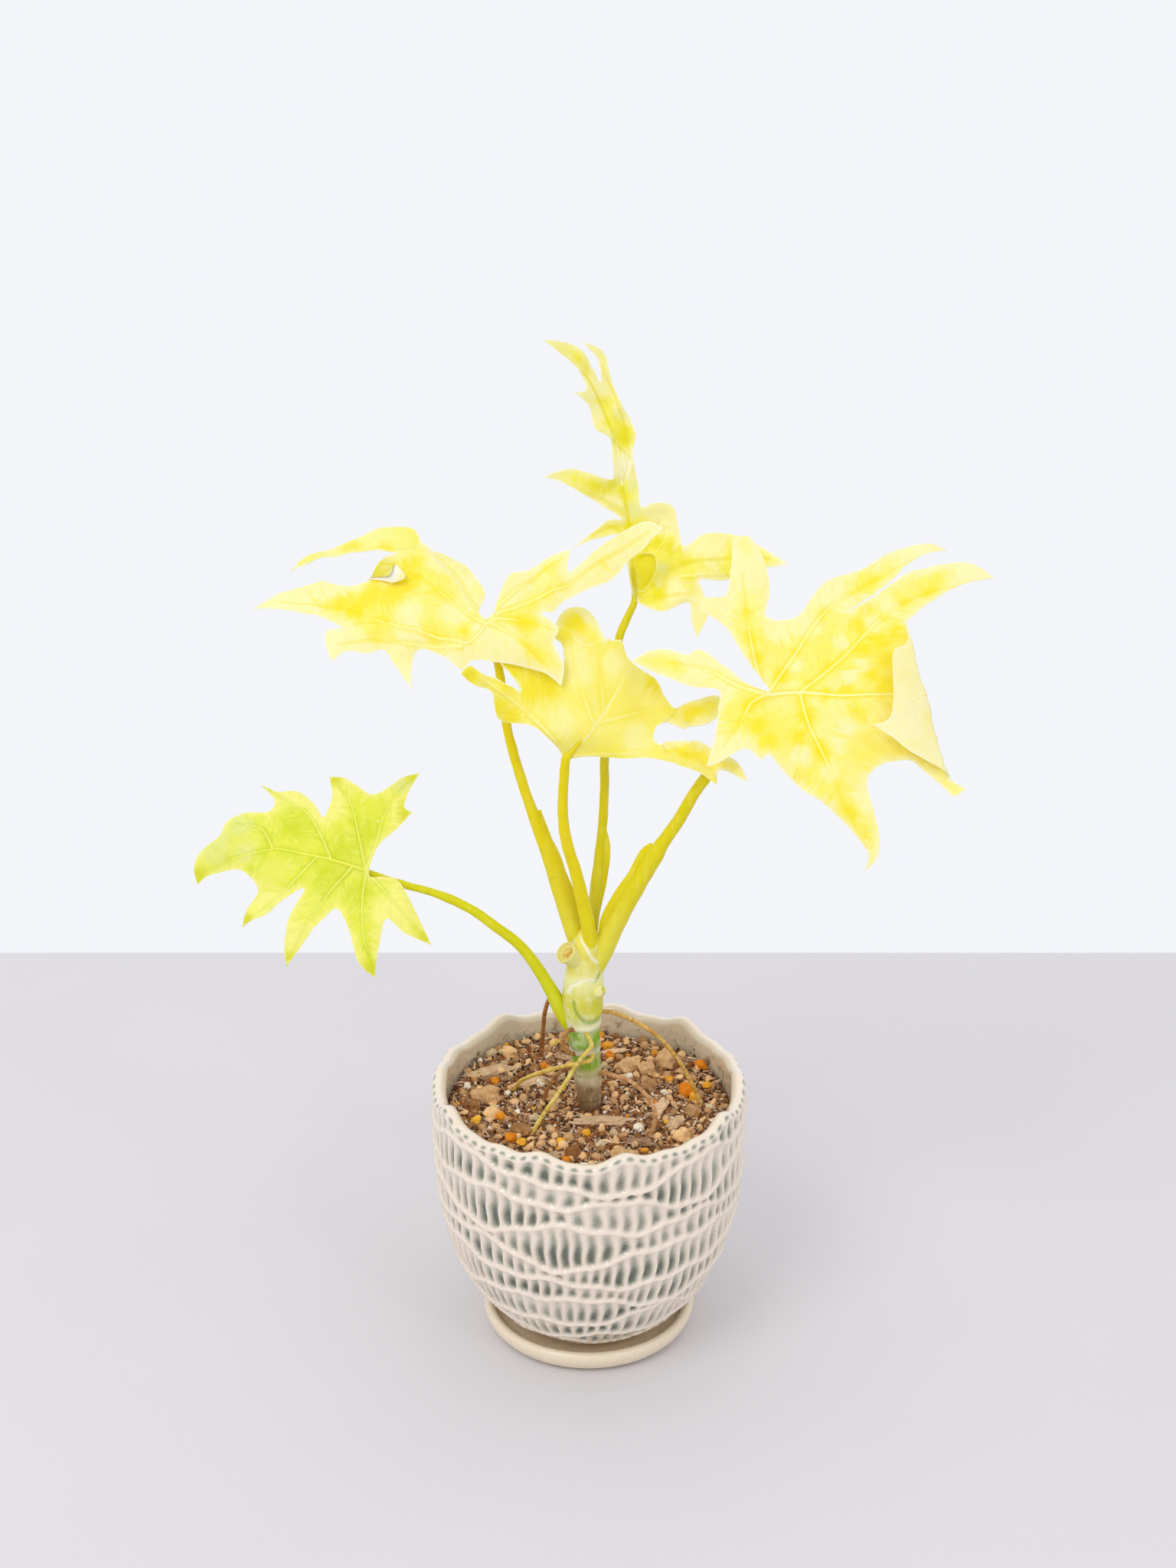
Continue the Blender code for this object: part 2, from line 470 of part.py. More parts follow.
LEAVES = {
    "low_left": dict(
        place=(-78.7, 2.0, 187.5), along=(-0.965, 0.249, 0.084), face=(-0.12, -0.70, 0.70),
        outline=[
            (-1, -2, 0), (-2, -10, 0), (-7, -18, 0), (-10, -25, -2, TIP), (-7, -26, -1),
            (-7, -33, -2), (-8, -41, -5, TIP), (-3, -37, -2), (1, -31, 0), (6, -28, 0),
            (13, -31, -1), (18, -33, -3), (24, -33, -5, TIP), (20, -25, -1), (20, -16, 1),
            (26, -21, -1), (34, -25, -3), (42, -24, -5), (49, -26, -8, TIP), (41, -20, -4),
            (42, -15, -3), (51, -13, -3), (56, -9, -4), (58, -3, -5), (64, 3, -8),
            (66, 8, -12), (64, 13, -16, TIP), (57, 9, -11), (48, 7, -7), (41, 10, -5),
            (38, 14, -5), (40, 21, -6), (41, 27, -9, TIP), (33, 22, -5), (26, 15, -2),
            (20, 11, 0), (23, 21, -2), (23, 31, -5), (21, 38, -9, TIP), (15, 27, -4),
            (10, 19, -1), (6, 16, 0), (0, 23, -2), (-5, 32, -5), (-11, 35, -9, TIP),
            (-11, 25, -3), (-12, 16, 0), (-19, 19, -3), (-28, 20, -8, TIP), (-21, 11, -3),
            (-13, 2, 0), (-7, 1, 0), (-2, 2, 0),
        ],
        veins=[
            [(0, 0, 0), (13, -1, 1.5), (23, -1, 2), (35, -1, 0), (51, 4, -5), (60, 9, -10)],
            [(13, -1, 1.5), (19, -9, 1.5), (26, -16, 0.5), (34, -20, -1.5), (45, -24, -5)],
            [(35, -1, 0), (42, -8, -1.5), (52, -9, -3)],
            [(0, 0, 0), (7, -14, 1), (12, -23, 0.5), (20, -30, -2)],
            [(0, 0, 0), (-1, -12, 0.5), (-1, -22, 0), (-5, -35, -2)],
            [(18, -1, 2), (24, 9, 1), (31, 17, -2), (38, 24, -5)],
            [(5, 0, 1), (11, 12, 1), (16, 23, -1), (20, 34, -6)],
            [(0, 0, 0), (-2, 12, 0.5), (-5, 23, -1), (-10, 32, -6)],
            [(0, 0, 0), (-15, 11, 0), (-24, 17, -4)],
        ],
        folds=[],
    ),
    "upper_left": dict(
        place=(-34.3, 5.0, 279.6), along=(-0.986, 0.165, 0.022), face=(-0.05, -0.42, 0.906),
        outline=[
            (1, -2, 0), (4, -5, 1), (3, -12, 2), (8, -20, 2), (14, -26, 2), (24, -30, 2),
            (30, -35, 2), (34, -39, 4), (45, -38, 4), (54, -33, 2), (70, -27, -2),
            (75, -22, -5, TIP), (69, -24, -3), (59, -26, 0), (50, -28, 1), (44, -29, 2),
            (38, -28, 2), (42, -26, 2), (50, -26, 2), (57, -24, 2), (62, -22, 2),
            (63, -20, 2, TIP), (59, -18, 2), (53, -17, 2), (46, -15, 1), (50, -13, 0),
            (58, -14, -1), (63, -15, -2), (75, -11, -4),
            (85, -6, -9, TIP), (73, -4, -6), (60, -1, -4), (51, 3, -4), (56, 4, -6),
            (56, 8, -8), (53, 13, -12, TIP), (49, 10, -10), (41, 10, -9), (35, 9, -8),
            (30, 14, -11), (24, 19, -16, TIP), (25, 13, -12), (24, 8, -9), (16, 9, -8),
            (8, 13, -10), (3, 10, -8), (-8, 11, -8), (-19, 11, -10), (-27, 14, -13, TIP),
            (-27, 8, -9), (-23, 3, -4), (-24, -1, 0), (-18, -4, 3), (-22, -5, 3), (-27, -9, 6),
            (-40, -14, 10), (-46, -19, 15), (-52, -23, 20), (-57, -28, 24, TIP),
            (-49, -28, 25), (-38, -22, 21), (-30, -17, 15), (-26, -15, 13),
            (-26, -21, 18, TIP), (-19, -18, 16), (-12, -14, 13), (-6, -12, 12), (-3, -7, 7),
            (-2, -2, 3),
        ],
        veins=[
            [(0, 0, 0), (7, 7, -3), (14, 9, -6), (22, 15, -12)],
            [(7, 7, -3), (19, 5, -3), (31, 3, -2), (42, 0, -1), (54, -4, -2), (75, -7, -5)],
            [(0, 0, 0), (14, -7, 2), (32, -18, 4), (41, -21, 4)],
            [(1, 0, 0), (13, -17, 4), (24, -28, 4)],
            [(8, 8, -4), (24, 7, -5), (40, 7, -5), (51, 8, -8)],
            [(0, 0, 0), (-6, -7, 6), (-14, -12, 10), (-24, -18, 16)],
            [(0, 0, 0), (-12, -6, 5), (-21, -9, 9), (-32, -15, 14), (-52, -26, 23)],
            [(0, 0, 0), (-12, 5, -2), (-22, 10, -8)],
            [(0, 0, 0), (-13, -1, 1), (-22, 0, 0)],
        ],
        folds=[dict(
            area=[(38, -29), (60, -25), (71, -21), (71, -17), (60, -16), (41, -13)],
            start=(40, -28), direction=(0.3, 0.95), radius=1.5, angle=2.7,
        )],
    ),
    "centre": dict(
        place=(-8.0, -12.0, 236.0), along=(1.0, 0.0, 0.0), face=(0.0, -1.0, 0.0),
        outline=[
            (0, 0, 0), (-3, 6, 2), (-7, 11, 3), (-12, 14, 2), (-22, 14, -2), (-24, 20, -2),
            (-25, 25, -2), (-31, 28, 0), (-35, 33, 2, TIP), (-32, 35, 0), (-27, 31, -1),
            (-20, 27, -3), (-15, 24, -4), (-18, 28, -8), (-22, 32, -12), (-13, 32, -14),
            (-6, 29, -14), (-1, 28, -14), (-1, 35, -17), (-4, 38, -19), (-2, 43, -24),
            (2, 45, -27), (7, 44, -28), (11, 40, -25), (14, 36, -20), (19, 36, -20),
            (21, 31, -18), (25, 27, -18), (31, 23, -17), (34, 18, -14), (38, 15, -10),
            (45, 18, -10), (52, 20, -9), (53, 14, -8), (43, 10, -6), (33, 12, -4),
            (30, 9, -2), (32, 7, 2), (42, 8, 5), (52, 6, 9), (58, 5, 14), (61, 0, 18, TIP),
            (52, 2, 14), (51, -2, 15, TIP), (46, 0, 11), (37, 2, 7), (28, 3, 4),
            (16, 2, 2), (7, 2, 0), (2, 1, 0),
        ],
        veins=[
            [(0, 1, 0), (6, 8, 2), (10, 13, 1), (16, 20, -6), (21, 27, -13)],
            [(-1, 4, 1), (-6, 12, 3), (-15, 20, -1), (-24, 26, -1), (-31, 31, 0)],
            [(10, 13, 1), (6, 22, -5), (3, 29, -12), (2, 37, -19)],
            [(13, 17, -3), (12, 26, -10), (11, 34, -18)],
            [(11, 14, 0), (21, 15, -4), (34, 15, -9), (46, 15, -9)],
            [(2, 2, 1), (21, 4, 3), (42, 5, 7), (54, 3, 13)],
        ],
        folds=[],
    ),
    "right": dict(
        place=(59.1, -20.0, 263.5), along=(0.994, -0.093, 0.052), face=(-0.10, -0.662, 0.743),
        outline=[
            (1, 2, 0), (-7, 12, 4), (-14, 24, 4), (-22, 29, 6), (-21, 33, 7), (-14, 35, 5),
            (-12, 43, 8), (-11, 53, 13, TIP), (-5, 53, 12), (0, 44, 7), (1, 36, 4),
            (0, 28, 2), (10, 28, 2), (15, 36, 1), (21, 43, 0), (33, 48, -1), (44, 56, -3),
            (55, 59, -5), (61, 58, -8, TIP), (50, 53, -5), (42, 44, -3), (32, 35, -1),
            (28, 31, 0), (38, 39, -2), (49, 48, -4), (64, 53, -7), (72, 52, -9),
            (77, 49, -12, TIP), (64, 44, -8), (55, 36, -4), (48, 28, 0), (47, 26, 0),
            (53, 18, 0), (59, 16, 0), (63, 7, 0), (70, -6, 0), (77, -7, 0, TIP),
            (73, -13, 0), (69, -19, 0), (64, -25, 0), (61, -29, 0), (60, -31, -1),
            (65, -34, -1, TIP), (61, -37, -1), (58, -34, -1), (52, -28, -2), (48, -24, -2),
            (44, -23, -3), (38, -24, -3), (35, -26, -4), (33, -30, -5), (35, -38, -7),
            (37, -47, -11), (36, -53, -15), (32, -56, -19, TIP), (33, -51, -14),
            (27, -44, -10), (20, -38, -6), (11, -32, -4), (5, -26, -2), (1, -22, 0),
            (-2, -23, -1), (-7, -19, -1), (-15, -22, -4), (-20, -23, -6, TIP),
            (-17, -13, -3), (-16, -4, -1), (-16, 2, 0), (-27, 5, -2), (-39, 11, -3),
            (-46, 15, -3, TIP), (-39, 17, 0), (-33, 17, 1), (-27, 15, 1), (-22, 16, 3),
            (-14, 10, 2), (-6, 4, 1),
        ],
        veins=[
            [(0, 0, 0), (11, 1, -0.5), (25, 0, -1), (42, 0, -0.5), (55, -1, 0), (74, -6, 0)],
            [(-1, 2, 0), (-4, 12, 3), (-6, 24, 3), (-8, 42, 8)],
            [(0, 0, 0), (9, 14, 0.5), (20, 31, 0), (32, 41, -2), (52, 54, -5)],
            [(11, 1, -0.5), (25, 13, 0), (38, 28, -1), (52, 39, -5), (68, 46, -9)],
            [(11, 1, -0.5), (14, -11, 0), (19, -22, -1.5), (27, -40, -8), (33, -50, -14)],
            [(0, 0, 0), (-5, -3, 0), (-8, -9, 0), (-14, -17, -3)],
            [(0, 0, 0), (-11, 4, 0.5), (-21, 10, 0.5), (-33, 13, 0)],
        ],
        folds=[dict(
            area=[(43, 27), (90, 27), (90, -30), (54, -30)],
            start=(45, 25), direction=(0.2, -0.98), radius=2.0, angle=2.85,
        )],
    ),
    "top": dict(
        place=(16.0, 16.0, 284.0), along=(1.0, 0.0, 0.0), face=(0.0, -1.0, 0.0),
        outline=[
            (0, 0, 0), (-2, 5, -2), (-3, 12, -6), (-5, 20, -8), (-11, 20, -7), (-17, 19, -5),
            (-22, 17, -4, TIP), (-15, 22, -6), (-9, 26, -8), (-5, 26, -9), (-11, 31, -6),
            (-22, 40, -1), (-31, 45, 4, TIP), (-22, 46, -2), (-12, 42, -6), (-8, 40, -9),
            (-8, 46, -10), (-9, 54, -11), (-14, 58, -9), (-16, 66, -8), (-21, 72, -4, TIP),
            (-17, 72, -7), (-19, 78, -7), (-24, 84, -4), (-31, 91, 2, TIP), (-24, 89, -3),
            (-18, 85, -7), (-15, 79, -9), (-12, 73, -12), (-13, 81, -11), (-18, 88, -8, TIP),
            (-11, 83, -12), (-8, 72, -13), (-3, 61, -16), (0, 54, -15), (-1, 47, -14),
            (1, 36, -14), (2, 29, -13), (7, 30, -15), (13, 28, -17), (15, 20, -16),
            (17, 15, -12), (24, 19, -14), (33, 18, -16), (44, 14, -14), (53, 10, -8, TIP),
            (44, 8, -10), (32, 5, -6), (22, 6, -3), (23, 3, 0), (25, -3, 4), (21, -11, 8, TIP),
            (19, -6, 4), (18, 0, 3), (10, -2, 6), (3, -1, 4),
        ],
        veins=[
            [(0, 1, 0), (-1, 7, -7), (-2, 17, -11), (-3, 27, -12), (-5, 38, -13),
             (-7, 52, -13), (-12, 65, -12), (-17, 76, -9), (-26, 86, -2)],
            [(-3, 27, -12), (-11, 33, -8), (-24, 42, -1)],
            [(-2, 17, -10), (-8, 23, -9), (-16, 21, -6)],
            [(-1, 8, -7), (5, 16, -12), (8, 23, -15)],
            [(1, 2, -1), (11, 8, -6), (20, 11, -8), (33, 11, -11), (46, 11, -11)],
            [(2, 0, 1), (9, 2, 3), (18, 3, 3)],
            [(-5, 38, -13), (-3, 50, -15), (-6, 64, -13), (-12, 79, -11)],
        ],
        folds=[],
    ),
}


def smooth_loop(outline, step):
    """Run a closed curve through an outline's points, with a corner at each tip."""
    curve = []
    count = len(outline)
    for index in range(count):
        start, end = outline[index], outline[(index + 1) % count]
        before = start if TIP in start else outline[index - 1]
        after = end if TIP in end else outline[(index + 2) % count]
        knots = [np.array(point[:2], float) for point in (before, start, end, after)]
        pieces = max(1, round(float(np.linalg.norm(knots[2] - knots[1])) / step))
        curve += [catmull(*knots, piece / pieces) for piece in range(pieces)]
    return np.array(curve)


def height_field(points):
    """A thin plate bent through points of (u, v, height); returns its height anywhere."""
    known = np.array(points, float)
    known = known[np.unique(known[:, :2], axis=0, return_index=True)[1]]
    count = len(known)

    def spline(distance):
        return distance ** 2 * np.log(distance + 1e-9)

    apart = np.linalg.norm(known[:, None, :2] - known[None, :, :2], axis=2) / 10.0
    system = np.zeros((count + 3, count + 3))
    system[:count, :count] = spline(apart) + 0.02 * np.eye(count)
    system[:count, count] = 1.0
    system[:count, count + 1:] = known[:, :2] / 10.0
    system[count:, :count] = system[:count, count:].T
    weights = np.linalg.solve(system, np.concatenate([known[:, 2], np.zeros(3)]))

    def height(flat):
        apart = np.linalg.norm(flat[:, None, :] - known[None, :, :2], axis=2) / 10.0
        return spline(apart) @ weights[:count] + weights[count] + flat / 10.0 @ weights[count + 1:]

    return height


def inside(point, loop, clear=0.0):
    """Whether a point is in a closed loop, and at least a clear distance from its edge."""
    starts, ends = loop, np.roll(loop, -1, axis=0)
    run = ends - starts
    crosses = (starts[:, 1] > point[1]) != (ends[:, 1] > point[1])
    at = starts[:, 0] + (point[1] - starts[:, 1]) / (run[:, 1] + 1e-12) * run[:, 0]
    share = np.clip(((point - starts) * run).sum(1) / (run ** 2).sum(1), 0, 1)
    near = np.linalg.norm(starts + run * share[:, None] - point, axis=1).min()
    return (crosses & (point[0] < at)).sum() % 2 == 1 and near > clear


def crease_ways(crease):
    """Where a crease starts, which way it runs, and which way its flap lies."""
    direction = np.array(crease["direction"], float) / np.linalg.norm(crease["direction"])
    away = np.array([-direction[1], direction[0]])
    return np.array(crease["start"], float), direction, away if away[0] > 0 else -away


def crease_points(crease, loop, spacing):
    """Three rows of points along a crease, so that its roll gets faces of its own."""
    start, direction, away = crease_ways(crease)
    area = np.array(crease["area"], float)
    found = []
    for row in range(3):
        past = 0.5 * row * crease["radius"] * crease["angle"]
        for step in np.arange(0.0, 100.0, spacing):
            point = start + direction * step + away * past
            if inside(point, area) and inside(point, loop, 1.2):
                found.append(point)
    return found


def grid_points(loop, spacing, creases):
    """A staggered grid of points inside a loop, clear of its edge and of the creases."""
    taken = [point for crease in creases for point in crease_points(crease, loop, 0.7 * spacing)]
    found = list(taken)
    low, high = loop.min(axis=0), loop.max(axis=0)
    for row, y in enumerate(np.arange(low[1], high[1], 0.87 * spacing)):
        for x in np.arange(low[0] + 0.5 * spacing * (row % 2), high[0], spacing):
            point = np.array([x, y])
            apart = min([math.dist(point, other) for other in taken], default=spacing)
            if apart > 0.4 * spacing and inside(point, loop, 0.5 * spacing):
                found.append(point)
    return found


def fold(points, crease):
    """Roll the flap of a sheet that lies past a crease, inside its area, towards the face."""
    origin, direction, away = crease_ways(crease)
    area = np.array(crease["area"], float)
    radius, angle = crease["radius"], crease["angle"]
    for point in points:
        offset = point[:2] - origin
        along, past = offset @ direction, offset @ away
        if past <= 0 or not inside(point[:2], area):
            continue
        turned = min(past / radius, angle)
        rest = max(past - radius * angle, 0.0)
        lift = point[2]
        forward = (radius - lift) * math.sin(turned) + rest * math.cos(turned)
        rise = radius - (radius - lift) * math.cos(turned) + rest * math.sin(turned)
        point[:2] = origin + direction * along + away * forward
        point[2] = rise


def make_blade(name, leaf, coat):
    """A lobed blade of even thickness, split into the same triangles on both faces."""
    loop = smooth_loop(leaf["outline"], EDGE_STEP)
    flat = np.array([*loop, *grid_points(loop, INSIDE_STEP, leaf["folds"])])
    known = [point[:3] for point in leaf["outline"]]
    known += [point for vein in leaf["veins"] for point in vein]
    result = delaunay_2d_cdt([Vector(point) for point in flat], [], [list(range(len(loop)))], 1, 1e-4)
    flat = np.array([tuple(point) for point in result[0]])
    faces = []
    for face in result[2]:
        first, second, third = (flat[index] for index in face)
        one, two = second - first, third - first
        left_turn = one[0] * two[1] > one[1] * two[0]
        faces.append(tuple(face) if left_turn else tuple(reversed(face)))
    sheet = np.column_stack([flat, height_field(known)(flat)])
    for crease in leaf["folds"]:
        fold(sheet, crease)
    along = np.array(leaf["along"]) / np.linalg.norm(leaf["along"])
    face_way = np.array(leaf["face"]) / np.linalg.norm(leaf["face"])
    along -= face_way * (along @ face_way)
    along /= np.linalg.norm(along)
    across = np.cross(face_way, along)
    middle = np.array(leaf["place"]) + sheet @ np.array([along, across, face_way])
    normals = np.zeros_like(middle)
    for face in faces:
        first, second, third = (middle[index] for index in face)
        for index in face:
            normals[index] += np.cross(second - first, third - first)
    normals /= np.linalg.norm(normals, axis=1)[:, None]
    half = BLADE_THICKNESS / 2
    points = [*(middle + normals * half), *(middle - normals * half)]
    count = len(middle)
    edges = {pair for face in faces for pair in zip(face, (*face[1:], face[0]))}
    solid = list(faces)
    solid += [tuple(index + count for index in reversed(face)) for face in faces]
    for start, end in sorted(edges):
        if (end, start) not in edges:
            solid.append((start + count, end + count, end))
            solid.append((start + count, end, start))
    blade = add_object(name, points, solid, coat)
    shade(blade, 50.0)
    return blade


def make_stem(coat):
    """The trunk: a buried foot, swollen nodes, a cut stub and a torn one."""
    stem = tube("stem", STEM, STEM_SIDES, 5.0, coat)
    stubs = [tube("stub", CUT_STUB, 10, 5.0), tube("stub", TORN_STUB, 6, 5.0)]
    boolean(stem, stubs, "UNION")
    keep_largest(stem)
    shade(stem)
    return stem


def grown_stem():
    return [
        tube("clearance", STEM, STEM_SIDES, 5.0, grow=HOLE_GAP),
        tube("clearance", CUT_STUB, 10, 5.0, grow=HOLE_GAP),
        tube("clearance", TORN_STUB, 6, 5.0, grow=HOLE_GAP),
    ]


def make_petioles(coat):
    """Five leaf stalks that clasp the top of the stem and each other."""
    made = []
    for name, stations in PETIOLES.items():
        petiole = tube("petiole_" + name, stations, PETIOLE_SIDES, 7.0, coat)
        clear = grown_stem()
        for other in made:
            clear.append(tube("clearance", PETIOLES[other], PETIOLE_SIDES, 7.0, grow=HOLE_GAP))
        boolean(petiole, clear, "DIFFERENCE")
        keep_largest(petiole)
        shade(petiole)
        made.append(name)


def root_stations(name):
    return [(*point, ROOT_RADIUS) for point in ROOTS[name]]


def make_roots(coat):
    """Thin aerial roots that leave the stem's nodes and dive into the soil."""
    for name in ROOTS:
        root = tube("aerial_root_" + name, root_stations(name), ROOT_SIDES, 5.0, coat)
        clear = grown_stem()
        clear.append(tube("clearance", PETIOLES["low_left"], PETIOLE_SIDES, 7.0, grow=HOLE_GAP))
        boolean(root, clear, "DIFFERENCE")
        keep_largest(root)
        shade(root)


for old in list(bpy.data.objects):
    bpy.data.objects.remove(old, do_unlink=True)

glaze = material("carved_glaze", (0.60, 0.58, 0.50), 0.25)
cream = material("cream_glaze", (0.74, 0.60, 0.40), 0.25)
mix = material("potting_mix", (0.17, 0.09, 0.05), 0.9)
bark = material("stem_skin", (0.50, 0.52, 0.20), 0.5)
stalk = material("petiole_skin", (0.66, 0.64, 0.08), 0.45)
root_skin = material("root_skin", (0.55, 0.40, 0.12), 0.6)
leaf_green = material("leaf_green", (0.62, 0.70, 0.10), 0.4)
leaf_gold = material("leaf_gold", (0.86, 0.78, 0.12), 0.4)

make_saucer(cream)
make_pot(glaze)
make_stem(bark)
make_petioles(stalk)
make_roots(root_skin)
buried = [(STEM, STEM_SIDES, 5.0)]
buried += [(root_stations(name), ROOT_SIDES, 5.0) for name in ROOTS if name not in ("loop", "stub")]
make_soil(mix, buried)
for leaf_name, leaf_shape in LEAVES.items():
    make_blade("blade_" + leaf_name, leaf_shape, leaf_green if leaf_name == "low_left" else leaf_gold)
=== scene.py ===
"""A young golden philodendron in a carved ceramic pot that stands on its saucer."""
import math
import random

import bmesh
import bpy
import numpy as np
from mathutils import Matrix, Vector, noise
from mathutils.geometry import delaunay_2d_cdt


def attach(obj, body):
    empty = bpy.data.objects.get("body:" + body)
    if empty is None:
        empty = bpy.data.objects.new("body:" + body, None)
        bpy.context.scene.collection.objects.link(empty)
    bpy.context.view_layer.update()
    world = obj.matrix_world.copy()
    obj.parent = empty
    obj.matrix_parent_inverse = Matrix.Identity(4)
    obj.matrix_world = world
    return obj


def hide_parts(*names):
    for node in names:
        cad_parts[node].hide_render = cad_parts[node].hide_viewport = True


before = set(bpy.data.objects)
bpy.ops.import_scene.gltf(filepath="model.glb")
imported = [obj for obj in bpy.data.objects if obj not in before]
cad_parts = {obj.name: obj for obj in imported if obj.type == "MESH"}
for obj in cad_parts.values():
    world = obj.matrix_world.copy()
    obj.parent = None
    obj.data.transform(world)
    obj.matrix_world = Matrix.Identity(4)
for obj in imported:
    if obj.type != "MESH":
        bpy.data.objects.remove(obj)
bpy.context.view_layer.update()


# The saucer: a small turned stoneware dish with a rolled lip, glazed cream, a little browner
# where the glaze has run into the corner. The pot stands loose in it.
MM = 0.001
SAUCER_COLUMNS = 144
SAUCER_PROFILE = (
    (33.2, 0.0), (35.6, 0.5), (37.4, 1.6), (38.8, 3.2), (39.7, 5.0), (40.1, 6.8), (39.9, 8.1),
    (39.2, 8.9), (38.2, 9.2), (37.2, 8.9), (36.4, 8.1), (35.9, 6.9), (35.4, 5.6), (34.6, 4.6),
    (33.2, 4.0), (31.0, 3.8), (26.0, 3.7), (18.0, 3.7), (8.0, 3.7),
)
CREAM = (236, 219, 192)
CREAM_SHADE = (238, 216, 180)
# Painted shadow: the darker brown laid on the saucer floor under the pot's foot.
POT_FOOT_SHADOW = (176, 140, 98)


def srgb(red, green, blue):
    """Turn a colour read by eye, in 0 to 255, into the linear values that a shader takes."""
    parts = [value / 255 for value in (red, green, blue)]
    return tuple(part / 12.92 if part <= 0.04045 else ((part + 0.055) / 1.055) ** 2.4
                 for part in parts) + (1.0,)


def new_coat(name):
    """A material with its node tree and its shader."""
    coat = bpy.data.materials.new(name)
    coat.use_nodes = True
    tree = coat.node_tree
    return coat, tree, tree.nodes["Principled BSDF"]


def add(tree, kind, inputs=None, **settings):
    """Add a node. An input takes a value, or another node's output."""
    node = tree.nodes.new(kind)
    for key, value in settings.items():
        setattr(node, key, value)
    for key, value in (inputs or {}).items():
        if isinstance(value, bpy.types.NodeSocket):
            tree.links.new(value, node.inputs[key])
        else:
            node.inputs[key].default_value = value
    return node


def sums(tree, operation, first, second=0.0, third=0.0, clamp=False):
    """One step of arithmetic on numbers or outputs."""
    node = add(tree, "ShaderNodeMath", {0: first, 1: second, 2: third},
               operation=operation, use_clamp=clamp)
    return node.outputs[0]


def tint(tree, factor, first, second, mode="MIX"):
    """Mix two colours, given as 0 to 255 values or as outputs."""
    sides = [side if isinstance(side, bpy.types.NodeSocket) else srgb(*side)
             for side in (first, second)]
    node = add(tree, "ShaderNodeMix", {0: factor, 6: sides[0], 7: sides[1]},
               data_type="RGBA", blend_type=mode)
    return node.outputs[2]


def spread(tree, value, low, high, start=0.0, end=1.0):
    """Carry a range of numbers over to another, smoothly and without overshoot."""
    node = add(tree, "ShaderNodeMapRange",
               {"Value": value, "From Min": low, "From Max": high, "To Min": start, "To Max": end},
               interpolation_type="SMOOTHSTEP")
    return node.outputs[0]


def clouds(tree, where, size, detail=4.0, roughness=0.55, stretch=None):
    """Soft noise whose patches are about a size in millimetres across, from 0 to 1."""
    if stretch:
        where = add(tree, "ShaderNodeMapping", {"Vector": where, "Scale": stretch}).outputs[0]
    node = add(tree, "ShaderNodeTexNoise", {"Vector": where, "Scale": 1000.0 / size,
                                            "Detail": detail, "Roughness": roughness})
    return node.outputs[0]


def emboss(tree, shader, height, strength, distance):
    """Raise a shader's surface by a height pattern, over a distance in millimetres."""
    bump = add(tree, "ShaderNodeBump", {"Height": height, "Strength": strength,
                                        "Distance": distance * MM})
    tree.links.new(bump.outputs[0], shader.inputs["Normal"])


def place_of(tree):
    return add(tree, "ShaderNodeTexCoord").outputs["Object"]


def reading(tree, name):
    """A number that the mesh carries at each point."""
    return add(tree, "ShaderNodeAttribute", attribute_name=name).outputs["Fac"]


def settle(tree, shader, colour, roughness):
    """Link a shader's colour and roughness."""
    tree.links.new(colour, shader.inputs["Base Color"])
    tree.links.new(roughness, shader.inputs["Roughness"])


def add_piece(name, points, faces, coat, readings=None, soft_angle=None):
    """Make one mesh from millimetre points, smooth, with numbers for its points to carry."""
    mesh = bpy.data.meshes.new(name)
    mesh.from_pydata((np.array(points, float) * MM).tolist(), [], [tuple(face) for face in faces])
    for key, values in (readings or {}).items():
        mesh.attributes.new(key, "FLOAT", "POINT").data.foreach_set(
            "value", np.array(values, np.float32))
    mesh.materials.append(coat)
    mesh.shade_smooth()
    if soft_angle:
        mesh.set_sharp_from_angle(angle=math.radians(soft_angle))
    mesh.validate()
    piece = bpy.data.objects.new(name, mesh)
    bpy.context.collection.objects.link(piece)
    return piece


def hand_over(piece, node):
    """Put a piece in the place of a solid, or beside it when no solid is named."""
    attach(piece, "root")
    if node:
        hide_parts(node)


def ring_faces(rows, columns, start=0):
    """Faces between rings of points, each ring a row, with outward sides for rising rings."""
    faces = []
    for row in range(rows - 1):
        low = start + row * columns
        for column in range(columns):
            after = (column + 1) % columns
            faces.append((low + column, low + after, low + columns + after, low + columns + column))
    return faces


def make_saucer_coat():
    coat, tree, shader = new_coat("saucer_cream_glaze")
    where = place_of(tree)
    parts = add(tree, "ShaderNodeSeparateXYZ", {0: where}).outputs
    radius = sums(tree, "SQRT", sums(tree, "ADD", sums(tree, "POWER", parts[0], 2.0),
                                     sums(tree, "POWER", parts[1], 2.0)))
    mottle = clouds(tree, where, 9.0)
    speck = spread(tree, clouds(tree, where, 1.6, 2.0), 0.66, 0.74)
    inner = spread(tree, radius, 0.0372, 0.0352)
    inner = sums(tree, "MULTIPLY", inner, spread(tree, parts[2], 0.003, 0.0036))
    pooled = sums(tree, "MULTIPLY", inner, spread(tree, mottle, 0.2, 0.8, 0.45, 0.95))
    colour = tint(tree, pooled, CREAM, CREAM_SHADE)
    # Painted shadow: the floor under the pot's foot turns darker brown, fading out about 26 mm from the centre.
    line = sums(tree, "MULTIPLY", spread(tree, radius, 0.0262, 0.0246), inner)
    colour = tint(tree, line, colour, POT_FOOT_SHADOW)
    colour = tint(tree, sums(tree, "MULTIPLY", speck, 0.25), colour, (168, 140, 104))
    settle(tree, shader, colour, spread(tree, mottle, 0.2, 0.8, 0.22, 0.34))
    shader.inputs["Coat Weight"].default_value = 0.5
    shader.inputs["Coat Roughness"].default_value = 0.12
    emboss(tree, shader, mottle, 0.15, 0.4)
    return coat


